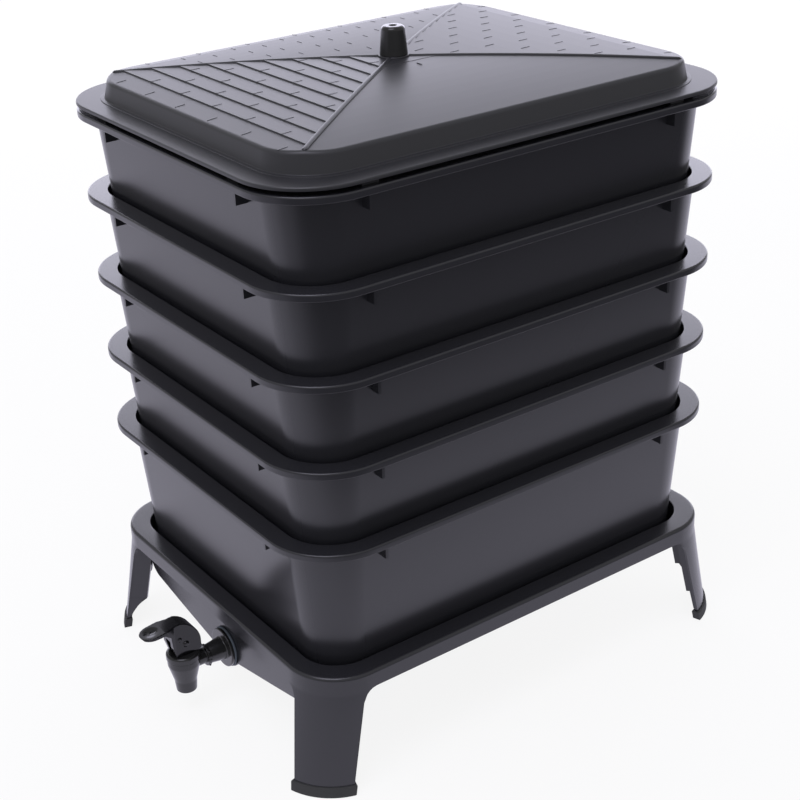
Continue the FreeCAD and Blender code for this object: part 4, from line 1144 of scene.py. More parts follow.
    def eaves_rings(self, rim: list[Flat]) -> list[list[Point]]:
        """The rings round the roof's soft outer edge and down to the raised part's foot.

        Args:
            rim: The roof's outer line.

        Returns:
            The rings, from the roof down.
        """
        steepest = math.atan(1.0 / self.lean)
        plain = self.foot.grown(self.rim_offset)
        foot_z = self.base + self.plate
        rings = []
        for number in range(self.eaves_steps + 1):
            angle = steepest * number / self.eaves_steps
            reach = self.eaves_round * math.sin(angle)
            drop = self.eaves_round * (1 - math.cos(angle))
            outline = self.foot.grown(self.rim_offset + reach)
            rings.append([(stack_axis() + x, y, self.roof(self.share(spot)) - drop)
                          for spot in rim for x, y in [plain.carry(spot, outline)]])
        soft, ledge = self.ledge_round, self.ledge_height
        for out, up in ((-soft * self.lean, ledge + soft), (0.25 * MM, ledge + 0.15 * MM),
                        (0.8 * MM, ledge), (self.ledge_width - 0.5 * MM, ledge),
                        (self.ledge_width, ledge * 0.6), (self.ledge_width + 0.1 * MM, 0.0)):
            rings.append(ring(self.foot.grown(out), foot_z + up, self.angles))
        return rings

    @property
    def rim_offset(self) -> float:
        """Where the roof's outer line runs, out from the raised part's foot."""
        return -self.lean * self.rise - self.eaves_reach * self.eaves_round

    def under_rings(self) -> list[list[Point]]:
        """The rings of the flange, the locating rim and the hollow.

        Returns:
            The rings, from the flange's top edge round to the hollow's upper end.
        """
        bottom, top = self.base, self.base + self.plate
        rim = Outline(self.flange.half_x - self.rim_inset, self.flange.half_y - self.rim_inset,
                      self.rim_corner)
        inner = rim.grown(-self.rim_wall)
        hollow = self.foot.grown(-self.shell)
        soft = self.flange_round
        stations = [(self.flange.grown(-soft), top),
                    (self.flange.grown(-soft * 0.5), top - 0.2 * MM),
                    (self.flange.grown(-soft * 0.13), top - 0.7 * MM),
                    (self.flange, top - soft), (self.flange, bottom + 0.5 * MM),
                    (self.flange.grown(-0.5 * MM), bottom), (rim, bottom),
                    (rim, bottom - self.rim_drop), (inner, bottom - self.rim_drop),
                    (inner, bottom), (hollow, bottom + self.plate),
                    (hollow.grown(-self.lean * self.rise), self.eaves - self.shell)]
        return [ring(outline, height, self.angles) for outline, height in stations]

    def build(self) -> None:
        """Build the lid as one piece."""
        rim = self.foot.grown(self.rim_offset).points(self.angles)
        rings = self.roof_rings(rim) + self.eaves_rings(rim) + self.under_rings()
        rings += self.roof_rings(rim, self.shell)[::-1]
        draft = Draft()
        draft.skin(rings)
        low, bevel = -self.knob_pad_rise - self.shell, 0.3 * MM
        pad = [(0.0, low), (self.knob_pad_radius, low), (self.knob_pad_radius, -bevel),
               (self.knob_pad_radius - bevel, 0.0), (0.0, 0.0)]
        draft.lathe(pad, Matrix.Translation((stack_axis(), 0.0, self.knob_seat)))
        piece = draft.piece("lid_moulding", LID_PLASTIC)
        self.add_battens(piece)
        for side in RoofSide:
            self.add_ticks(piece, side)
        self.add_pads(piece)
        outward(piece)
        smooth(piece, self.sharp_angle)
        hand_over(piece, "lid", "lid")

    def add_battens(self, piece: bpy.types.Object) -> None:
        """Lay the hip battens on the roof.

        Args:
            piece: The lid.
        """
        batten_recipe().run(piece, LID_PLASTIC, {
            "Half Length": self.foot.half_x, "Half Width": self.foot.half_y,
            "Share": self.batten_share, "Eaves": self.eaves, "Rise": self.roof_rise,
            "Batten Half Width": self.batten_width / 2, "Batten Height": self.batten_height,
            "Axis": stack_axis()})

    def add_ticks(self, piece: bpy.types.Object, side: RoofSide) -> None:
        """Lay the short joints between the tiles on one face of the roof.

        Args:
            piece: The lid.
            side: The face.
        """
        down, across = self.foot.half_x, self.foot.half_y
        if side in (RoofSide.BACK, RoofSide.FRONT):
            down, across = across, down
        tick_recipe().run(piece, LID_PLASTIC, {
            "Half Down": down, "Half Across": across, "Eaves": self.eaves, "Rise": self.roof_rise,
            "Start": self.course_start, "Step": self.course_step,
            "Courses": self.front_courses if side is RoofSide.FRONT else self.course_count,
            "Step Height": self.step(side, 0), "Pitch": self.tick_pitch,
            "Tick Length": self.tick_length, "Tick Width": self.tick_width,
            "Tick Height": self.tick_height, "Turn": QUARTER_TURN * side.value,
            "Even Shift": side.bond()[0], "Odd Shift": side.bond()[1],
            "Last Line": self.course_start + self.course_step * (self.course_count - 1),
            "Axis": stack_axis()})

    def add_pads(self, piece: bpy.types.Object) -> None:
        """Hang the spacer pads under the flange, down to the top tray.

        Args:
            piece: The lid.
        """
        tray_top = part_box("tray_1")[1].z
        height = self.base - tray_top + self.pad_sunk
        pad_recipe().run(piece, LID_PLASTIC, {
            "Half Length": self.flange.half_x - self.pad_inset,
            "Half Width": self.flange.half_y - self.pad_inset,
            "Span Long": self.pad_span_long, "Span Short": self.pad_span_short,
            "Pad Long": self.pad_long, "Pad Wide": self.pad_wide, "Pad Height": height,
            "Place": (stack_axis(), 0.0, tray_top + height / 2)})


@cache
def batten_recipe() -> Recipe:
    """Build the tree of two round topped battens that cross at the apex and follow the hips.

    Returns:
        The recipe.
    """
    recipe = Recipe("hip battens")
    half_x, half_y, share = recipe.numbers("Half Length", "Half Width", "Share")
    eaves, rise, axis = recipe.numbers("Eaves", "Rise", "Axis")
    width, height = recipe.numbers("Batten Half Width", "Batten Height")
    lines = []
    for sign in (1.0, -1.0):
        end = recipe.vector(half_x * share, half_y * share * sign)
        start = recipe.vector(half_x * share * -1.0, half_y * share * -sign)
        lines.append(recipe.add("GeometryNodeCurvePrimitiveLine", {"mode": "POINTS"},
                                {"Start": start, "End": end}))
    fine = recipe.add("GeometryNodeResampleCurve", {"mode": "COUNT"},
                      {"Curve": recipe.join(*lines), "Count": BATTEN_POINTS})
    part = recipe.place().part("X") / half_x
    level = eaves + rise * (1.0 - part * part)
    lifted = recipe.add("GeometryNodeSetPosition", {},
                        {"Geometry": fine, "Offset": recipe.vector(axis, 0.0, level)})
    along = recipe.add("GeometryNodeSplineParameter").part("Factor")
    end = ((along - 0.5).size() * 2.0 - (1.0 - BATTEN_TAPER)) * (1.0 / BATTEN_TAPER)
    taper = (1.0 - end.held() * end.held()).root() * (1.0 - BATTEN_TIP) + BATTEN_TIP
    profile = recipe.add("GeometryNodeCurvePrimitiveCircle", {"mode": "RADIUS"},
                         {"Resolution": SMALL_ROUND_SIDES, "Radius": 1.0})
    flat = recipe.add("GeometryNodeTransform", {},
                      {"Geometry": profile, "Scale": recipe.vector(width, height, 1.0)})
    return recipe.finish(recipe.add("GeometryNodeCurveToMesh", {}, {
        "Curve": lifted, "Profile Curve": flat, "Fill Caps": True, "Scale": taper}))


@cache
def tick_recipe() -> Recipe:
    """Build the tree of the tile joints on one roof face, in running bond.

    Returns:
        The recipe.
    """
    recipe = Recipe("tile joints")
    down, across, eaves, rise = recipe.numbers("Half Down", "Half Across", "Eaves", "Rise")
    first, step, last, lip = recipe.numbers("Start", "Step", "Last Line", "Step Height")
    width, height, length = recipe.numbers("Tick Width", "Tick Height", "Tick Length")
    pitch, even, odd = recipe.numbers("Pitch", "Even Shift", "Odd Shift")
    turn, axis = recipe.numbers("Turn", "Axis")
    courses = recipe.given("Courses", "NodeSocketInt")
    grid = recipe.grid(courses - 1.0, float(JOINTS_ACROSS), courses, JOINTS_ACROSS + 1)
    here = recipe.place()
    course = recipe.maths("ROUND", here.part("X") + (courses - 1.0) * 0.5)
    bond = even + recipe.maths("MODULO", course, 2.0) * (odd - even)
    middle = first + (course + 1.0) * step - length * step * 0.5
    stepped = 1.0 - middle.above(last)
    level = eaves + rise * (1.0 - middle * middle) + lip * (1.0 - length * 0.5) * stepped
    laid = recipe.add("GeometryNodeSetPosition", {}, {
        "Geometry": grid,
        "Position": recipe.vector(middle * down, here.part("Y") * pitch + bond, level)})
    share = here.part("X") / down
    beyond = here.part("Y").size().above((share - step * length * 0.5) * across - HIP_GAP)
    kept = recipe.add("GeometryNodeDeleteGeometry", {"domain": "POINT"},
                      {"Geometry": laid, "Selection": beyond})
    bead = recipe.add("GeometryNodeMeshCube", {}, {
        "Size": recipe.vector(down * step * length, width, height * 2.0)})
    on_step = 1.0 - share.above(last)
    slope = recipe.maths("ARCTAN2", rise * 2.0 * share - lip / step * on_step, down)
    ticks = recipe.copies(kept, bead, recipe.vector(y=slope))
    return recipe.finish(recipe.move(ticks, recipe.vector(axis), recipe.vector(z=turn)))


@cache
def pad_recipe() -> Recipe:
    """Build the tree of eight small spacer pads, two under each side of a flange.

    Returns:
        The recipe.
    """
    recipe = Recipe("spacer pads")
    half_x, half_y, span_long, span_short = recipe.numbers("Half Length", "Half Width",
                                                           "Span Long", "Span Short")
    long, wide, high = recipe.numbers("Pad Long", "Pad Wide", "Pad Height")
    place = recipe.given("Place", "NodeSocketVector")
    sides = []
    for size_x, size_y, size in ((half_x, span_short, recipe.vector(wide, long, high)),
                                 (span_long, half_y, recipe.vector(long, wide, high))):
        block = recipe.add("GeometryNodeMeshCube", {}, {"Size": size})
        sides.append(recipe.copies(recipe.grid(size_x * 2.0, size_y * 2.0), block))
    return recipe.finish(recipe.move(recipe.join(*sides), place))


# Knob

@dataclass
class Knob:
    """The turned knob on the lid, with a dimple in its top."""

    foot_radius: float = 11.4 * MM
    head_radius: float = 9.3 * MM
    shoulder: float = 5.5 * MM
    dimple_radius: float = 3 * MM
    dimple_depth: float = 1.1 * MM
    dimple_flare: float = 0.6 * MM
    dimple_floor: float = 0.6

    def build(self) -> None:
        """Build the knob as one piece."""
        low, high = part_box("lid_knob")
        tall = high.z - low.z
        line = rounded([
            (0.0, 0.0, 0.0), (self.foot_radius, 0.0, 0.5 * MM),
            (self.head_radius, tall, self.shoulder),
            (self.dimple_radius + self.dimple_flare, tall, 0.5 * MM),
            (self.dimple_radius * self.dimple_floor, tall - self.dimple_depth, 0.6 * MM),
            (0.0, tall - self.dimple_depth, 0.0)], steps=8)
        draft = Draft()
        draft.lathe(line, Matrix.Translation((stack_axis(), 0.0, low.z)), segments=FINE_SEGMENTS)
        piece = draft.piece("lid_knob_turned", KNOB_PLASTIC)
        smooth(piece)
        hand_over(piece, "lid", "lid_knob")


# Collector base

# Shares of a leg section's growth that go to half of its width and to its wall.
EDGE_GROWTH = 1.1
WALL_GROWTH = 1.55
CUT_DISTANCE = 1e-6
CORNERS = ((1, 1), (-1, 1), (-1, -1), (1, -1))


@dataclass
class CollectorBase:
    """A deck with a skirt, a hopper tub, a drain pocket and four splayed legs, all one moulding."""

    deck: Outline = Outline(215 * MM, 176 * MM, 47 * MM)
    skirt: float = 15 * MM
    shell: float = 3 * MM
    edge_round: float = 3 * MM
    edge_steps: int = 5
    tub: Outline = Outline(198.02 * MM, 158.02 * MM, 33 * MM)
    tub_lip: float = 1 * MM
    tub_fold: float = 2 * MM
    hopper_play: float = 1 * MM
    hopper_shoulder: float = 120 * MM
    hopper_shoulder_drop: float = 44 * MM
    hopper_drop: float = 68 * MM
    hopper_far_drop: float = 20 * MM
    leg_out_x: float = 14 * MM
    leg_out_y: float = 5 * MM
    leg_turn: float = math.radians(37.5)
    leg_half_low: float = 24.25 * MM
    leg_radius_low: float = 56 * MM
    leg_foot: float = 3 * MM
    leg_columns: int = 16
    leg_stops: int = 8
    flare: float = 10 * MM
    flare_drop: float = 11 * MM
    flare_rows: int = 4
    beside_columns: int = 3
    web_wall: float = 3.5 * MM
    web_side: float = 14 * MM
    web_front: float = 4 * MM
    web_step: float = 3 * MM
    web_stop: float = 32 * MM
    web_low: float = 12 * MM
    web_left: float = 0.5 * MM
    web_inset: float = 0.1 * MM
    pocket_radius: float = 19 * MM
    pocket_long: float = 26 * MM
    pocket_drop: float = 58 * MM
    pocket_start: float = 0.15 * MM
    rib_wall: float = 2.5 * MM
    rib_reach: float = 9 * MM
    rib_root: float = 4.1 * MM
    rib_long: float = 145 * MM
    rib_short: float = 100 * MM
    overlap: float = 1 * MM
    bevel: float = 0.5 * MM
    bevel_angle: float = math.radians(50.0)
    sharp_angle: float = math.radians(38.0)

    def __post_init__(self) -> None:
        """Read the base's top from the frame."""
        self.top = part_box("collector_base")[1].z
        self.skirt_low = self.top - self.skirt

    @property
    def hopper_edges(self) -> Flat:
        """How far the hopper's slopes run from the middle, along X and along Y."""
        return (self.tub.half_x + self.shell + self.hopper_play,
                self.tub.half_y + self.shell + self.hopper_play)

    def hopper(self, x: float, y: float) -> float:
        """The height of the hopper's inner floor at a place.

        Args:
            x: The place along X, from the stack's axis.
            y: The place along Y.

        Returns:
            The height above the floor that the part stands on.
        """
        across, shoulder = abs(y), self.hopper_shoulder
        far, side = self.hopper_edges
        if across < shoulder:
            part = across / shoulder
            drop = self.hopper_drop + (self.hopper_shoulder_drop - self.hopper_drop) * part
        else:
            part = (across - shoulder) / (side - shoulder)
            rest = self.hopper_far_drop - self.hopper_shoulder_drop
            drop = self.hopper_shoulder_drop + rest * part
        along = (x / far + 1.0) / 2
        fall = self.hopper_drop + (self.hopper_far_drop - self.hopper_drop) * along
        return self.top - min(drop, fall)

    def leg_arc(self, height: float, grow: float = 0.0) -> tuple[Flat, float, float]:
        """The arc of a leg's outer face in the +X +Y corner at one height.

        Args:
            height: The height above the floor.
            grow: How far outside the leg the arc runs.

        Returns:
            The arc's middle, its radius and half of its angle.
        """
        fall = (self.skirt_low - height) / self.skirt_low
        inset = self.deck.radius * (1 - math.cos(QUARTER_TURN / 2 - self.leg_turn))
        half_top = self.deck.radius * math.sin(self.leg_turn)
        half = half_top + (self.leg_half_low - half_top) * fall + EDGE_GROWTH * grow
        radius = self.deck.radius + (self.leg_radius_low - self.deck.radius) * fall + grow
        turn = math.asin(half / radius)
        back = (half + radius * math.cos(turn)) * math.sqrt(0.5) + inset - grow
        middle = (self.deck.half_x + (self.leg_out_x + inset) * fall - back,
                  self.deck.half_y + (self.leg_out_y + inset) * fall - back)
        return middle, radius, turn

    def leg_point(self, height: float, part: float, depth: float = 0.0) -> Flat:
        """A point of a leg in the +X +Y corner.

        Args:
            height: Its height above the floor.
            part: Its place along the leg's section, -1 at the edge on the +X side, 1 at the other.
            depth: How far under the leg's outer face it lies.

        Returns:
            The point.
        """
        middle, radius, turn = self.leg_arc(height)
        angle, reach = QUARTER_TURN / 2 + turn * part, radius - depth
        return middle[0] + reach * math.cos(angle), middle[1] + reach * math.sin(angle)

    def column_angles(self) -> list[float]:
        """Places on a deck corner's arc, one of them on each side edge of the leg.

        Returns:
            The angles, rising.
        """
        edge = QUARTER_TURN / 2 - self.leg_turn
        beside = [edge * step / self.beside_columns for step in range(self.beside_columns)]
        across = [edge + 2 * self.leg_turn * step / self.leg_columns
                  for step in range(self.leg_columns + 1)]
        return beside + across + [QUARTER_TURN - angle for angle in reversed(beside)]

    def run_out(self) -> list[float]:
        """Where the flare ends on the straight sides, past the corner's arc."""
        return [self.flare - self.deck.radius * (QUARTER_TURN / 2 - self.leg_turn)]

    def sheet(self) -> Draft:
        """The whole outer face as one sheet: hopper, tub, deck, skirt and legs.

        Returns:
            The mesh in the making.
        """
        columns = self.deck.points(self.column_angles(), self.run_out())
        soft, lip = self.edge_round, self.tub_lip
        stations = [(self.deck, self.skirt_low)]
        stations += [(self.deck.grown(-soft * (1 - math.cos(angle))),
                      self.top - soft * (1 - math.sin(angle)))
                     for angle in corner_angles(self.edge_steps)]
        stations += [(self.tub.grown(lip), self.top),
                     (self.tub.grown(0.3 * lip), self.top - 0.3 * lip),
                     (self.tub, self.top - lip),
                     (self.tub, self.top - self.hopper_far_drop + self.tub_fold)]
        draft = Draft()
        loops = [draft.points([(*self.deck.carry(spot, outline), height) for spot in columns])
                 for outline, height in stations]
        for low, high in zip(loops, loops[1:]):
            draft.span(low, high, len(low))
        self.add_hopper(draft, loops[-1])
        self.add_legs(draft, loops[0], len(columns) // 4)
        bmesh.ops.translate(draft.mesh, verts=draft.mesh.verts, vec=(stack_axis(), 0.0, 0.0))
        return draft

    def add_hopper(self, draft: Draft, rim: Row) -> None:
        """Close the tub with its folded floor.

        Args:
            draft: The mesh in the making.
            rim: The lower ring of the tub's wall, which drops to the floor's height.
        """
        mesh = draft.mesh
        floor = [mesh.faces.new(rim)]
        far, side = self.hopper_edges
        lean = (self.hopper_drop - self.hopper_far_drop) / (far * 2)
        folds = [((0.0, 0.0), (0.0, 1.0)), ((0.0, self.hopper_shoulder), (0.0, 1.0)),
                 ((0.0, -self.hopper_shoulder), (0.0, 1.0))]
        inner = (self.hopper_drop - self.hopper_shoulder_drop) / self.hopper_shoulder
        outer = (self.hopper_shoulder_drop - self.hopper_far_drop) / (side - self.hopper_shoulder)
        shoulder_x = -far + (self.hopper_drop - self.hopper_shoulder_drop) / lean
        for sign in (1.0, -1.0):
            folds.append(((-far, 0.0), (lean, -sign * inner)))
            folds.append(((shoulder_x, sign * self.hopper_shoulder), (lean, -sign * outer)))
        for (x, y), normal in folds:
            edges = {edge for face in floor for edge in face.edges}
            corners = {vert for face in floor for vert in face.verts}
            cut = bmesh.ops.bisect_plane(
                mesh, geom=[*floor, *edges, *corners], plane_co=(x, y, 0.0),
                plane_no=(*normal, 0.0), dist=CUT_DISTANCE)
            floor = [item for item in cut["geom"] if isinstance(item, bmesh.types.BMFace)]
        for vert in {vert for face in floor for vert in face.verts}:
            vert.co.z = self.hopper(vert.co.x, vert.co.y)

    def add_legs(self, draft: Draft, rim: Row, corner: int) -> None:
        """Hang the four legs from the skirt's lower edge.

        Args:
            draft: The mesh in the making.
            rim: The skirt's lower ring.
            corner: How many of its points each corner has.
        """
        extra = self.beside_columns + len(self.run_out())
        rows = self.flare_rows
        flare_low = self.skirt_low - self.flare_drop
        heights = [self.skirt_low - self.flare_drop * row / rows for row in range(1, rows + 1)]
        heights += [flare_low + (self.leg_foot - flare_low) * stop / self.leg_stops
                    for stop in range(1, self.leg_stops + 1)]
        for quarter, signs in enumerate(CORNERS):
            own = rim[quarter * corner:(quarter + 1) * corner]
            if quarter % 2:
                own = own[::-1]
            main = own[extra:corner - extra]
            stack = [main] + [self.leg_row(draft, signs, height, len(main)) for height in heights]
            for low, high in zip(stack, stack[1:]):
                draft.span(low, high, len(main) - 1)
            for end, columns in ((0, own[:extra + 1][::-1]), (-1, own[-extra - 1:])):
                self.add_flare(draft, columns, [row[end] for row in stack[:rows + 1]])

    def leg_row(self, draft: Draft, signs: tuple[int, int], height: float, count: int) -> Row:
        """Add one level row of points across the outer face of a leg.

        Args:
            draft: The mesh in the making.
            signs: The leg's side along X and along Y.
            height: The row's height above the floor.
            count: How many points it has.

        Returns:
            The points.
        """
        parts = [2 * number / (count - 1) - 1 for number in range(count)]
        spots = [self.leg_point(height, part) for part in parts]
        return draft.points([(signs[0] * x, signs[1] * y, height) for x, y in spots])

    def add_flare(self, draft: Draft, columns: Row, edge: Row) -> None:
        """Fill the concave curve between a leg's edge and the skirt.

        Args:
            draft: The mesh in the making.
            columns: Points along the skirt's lower edge, from the leg outwards.
            edge: Points down the leg's edge, from the skirt down to the curve's foot.
        """
        rows = len(edge) - 1
        grid, walked = [edge], 0.0
        for before, column in zip(columns, columns[1:]):
            walked += (column.co - before.co).length
            share = max(0.0, 1.0 - walked / self.flare)
            curve = 1.0 - math.sqrt(1.0 - share * share)
            line = [column]
            for row in range(1, rows + 1):
                side = edge[row].co - edge[0].co
                spot = column.co + Vector((side.x, side.y, 0.0)) * curve
                drop = self.flare_drop * curve * row / rows
                line.append(draft.mesh.verts.new((spot.x, spot.y, column.co.z - drop)))
            grid.append(line)
        for near, far in zip(grid, grid[1:]):
            for row in range(rows):
                draft.mesh.faces.new((near[row], far[row], far[row + 1], near[row + 1]))

    def build(self) -> None:
        """Build the base as one piece."""
        draft = self.sheet()
        piece = draft.piece("collector_base_moulding", BASE_PLASTIC)
        deck = max(piece.data.polygons, key=lambda face: face.center.z)
        if deck.normal.z < 0:
            piece.data.flip_normals()
        wall = piece.modifiers.new("wall", "SOLIDIFY")
        wall.thickness = self.shell
        wall.offset = -1.0
        wall.use_even_offset = True
        edges = piece.modifiers.new("soft edges", "BEVEL")
        edges.width = self.bevel
        edges.segments = 2
        edges.limit_method = "ANGLE"
        edges.angle_limit = self.bevel_angle
        settle(piece)
        self.add_details(piece)
        smooth(piece, self.sharp_angle)
        hand_over(piece, "base", "collector_base")

    def add_details(self, piece: bpy.types.Object) -> None:
        """Add the leg webs, the ribs that carry the bottom tray and the drain pocket.

        Args:
            piece: The base.
        """
        draft = Draft()
        draft.mesh.from_mesh(piece.data)
        extra = Draft()
        for sign_x in (1, -1):
            for sign_y in (1, -1):
                for side in (-1, 1):
                    self.add_web(extra, sign_x, sign_y, side)
        self.add_ribs(extra)
        self.add_pocket(extra)
        bmesh.ops.remove_doubles(extra.mesh, verts=extra.mesh.verts, dist=MERGE_DISTANCE)
        bmesh.ops.recalc_face_normals(extra.mesh, faces=extra.mesh.faces)
        data = bpy.data.meshes.new("details")
        extra.mesh.to_mesh(data)
        draft.mesh.from_mesh(data)
        draft.mesh.to_mesh(piece.data)
        bpy.data.meshes.remove(data)
        extra.mesh.free()
        draft.mesh.free()

    def add_web(self, draft: Draft, sign_x: int, sign_y: int, side: int) -> None:
        """Add the web that runs inwards from one side edge of a leg, stepped back above the foot.

        Args:
            draft: The mesh in the making.
            sign_x: The leg's side along X.
            sign_y: The leg's side along Y.
            side: -1 for the edge at the base's short side, 1 for the other.
        """
        deep = self.web_side if side < 0 else self.web_front
        out = Vector((1.0, 1.0)).normalized()
        across = Vector((-out.y, out.x)) * side
        for high, depth, low, left in (
                (self.top - self.shell / 2, deep, self.web_stop, deep),
                (self.web_stop + self.overlap, deep - self.web_step, self.web_low,
                 self.web_left)):
            rings = []
            for height, reach in ((high, depth), (low, left)):
                edge = Vector(self.leg_point(height, side, self.shell / 2))
                start = edge - across * self.web_inset
                inner = start - across * self.web_wall
                run = out * -(reach + self.shell / 2)
                rings.append([(stack_axis() + sign_x * spot.x, sign_y * spot.y, height)
                              for spot in (start, inner, inner + run, start + run)])
            draft.skin(rings)

    def add_ribs(self, draft: Draft) -> None:
        """Add the eight ribs inside the tub that the bottom tray stands on.

        Args:
            draft: The mesh in the making.
        """
        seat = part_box("tray_5")[0].z
        low = self.top - self.hopper_far_drop + self.shell / 2
        half = self.rib_wall / 2
        near_x = self.tub.half_x - self.rib_reach - self.rib_root
        near_y = self.tub.half_y - self.rib_reach - self.rib_root
        far_x, far_y = self.tub.half_x + self.overlap, self.tub.half_y + self.overlap
        for sign in (1, -1):
            for other in (1, -1):
                across, along = other * self.rib_short, other * self.rib_long
                for (x0, y0), (x1, y1) in (
                        ((sign * near_x, across - half), (sign * far_x, across + half)),
                        ((along - half, sign * near_y), (along + half, sign * far_y))):
                    base = ((x0, y0), (x1, y0), (x1, y1), (x0, y1))
                    draft.skin([[(stack_axis() + x, y, z) for x, y in base]
                                for z in (low, seat)])

    def add_pocket(self, draft: Draft) -> None:
        """Add the round drain pocket behind the tap.

        Args:
            draft: The mesh in the making.
        """
        face = stack_axis() - self.tub.half_x - self.shell
        turned = (Matrix.Translation((face, 0.0, self.top - self.pocket_drop))
                  @ Matrix.Rotation(QUARTER_TURN, 4, "Y"))
        radius, start, end = self.pocket_radius, self.pocket_start, self.pocket_long
        line = rounded([(0.0, start, 0.0), (radius, start, 0.6 * MM), (radius, end, 2 * MM),
                        (0.0, end, 0.0)])
        draft.lathe(line, turned)


@dataclass
class Foot:
    """A slip-on foot round the end of one leg."""

    node: str
    wall: float = 2.3 * MM
    soft: float = 0.9 * MM
    tall: float = 9 * MM
    leg_wall: float = 3.5 * MM
    arc_steps: int = 16
    soft_steps: int = 3

    def outline(self, base: CollectorBase, height: float, grow: float) -> list[Flat]:
        """The foot's closed outline in the +X +Y corner at one height.

        Args:
            base: The base whose leg stands in the foot.
            height: The height above the floor.
            grow: How far outside the leg the outline runs.

        Returns:
            The outline's points.
        """
        middle, radius, turn = base.leg_arc(height, grow)
        inner = radius - self.leg_wall - WALL_GROWTH * grow
        angles = [QUARTER_TURN / 2 + turn * (2 * step / self.arc_steps - 1)
                  for step in range(self.arc_steps + 1)]
        return [(middle[0] + reach * math.cos(angle), middle[1] + reach * math.sin(angle))
                for reach, row in ((radius, angles), (inner, angles[::-1])) for angle in row]

    def build(self, base: CollectorBase) -> None:
        """Build the foot as one piece.

        Args:
            base: The base whose leg stands in the foot.
        """
        low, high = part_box(self.node)
        sign_x = 1 if (low.x + high.x) / 2 > stack_axis() else -1
        sign_y = 1 if low.y + high.y > 0 else -1
        rings = [(self.wall - self.soft * (1 - math.sin(angle)),
                  self.soft * (1 - math.cos(angle))) for angle in corner_angles(self.soft_steps)]
        rings += [(grow, self.tall - height) for grow, height in rings[::-1]]
        draft = Draft()
        draft.skin([[(stack_axis() + sign_x * x, sign_y * y, low.z + height)
                     for x, y in self.outline(base, height, grow)] for grow, height in rings])
        piece = draft.piece(self.node + "_boot", FOOT_PLASTIC)
        smooth(piece)
        hand_over(piece, "base", self.node)


# Tap

WELD_DISTANCE = 1e-5
# How far up a face of the lever has to look for the paddle's hollows to reach it.
UPPER_FACE = 0.5


@dataclass(frozen=True)
class Hollow:
    """An oval hollow in the lever's paddle, its middle some way back from the paddle's tip."""

    back: float
    half_long: float
    half_wide: float
    depth: float

    def share(self, back: float, across: float) -> float:
        """One at the hollow's middle, falling to nought at its rim."""
        return max(0.0, 1.0 - ((back - self.back) / self.half_long) ** 2
                   - (across / self.half_wide) ** 2)


@dataclass(frozen=True)
class Nub:
    """A round nub on the lever's cheeks, placed along X and Z from the pin."""

    x: float
    z: float
    radius: float
    tall: float


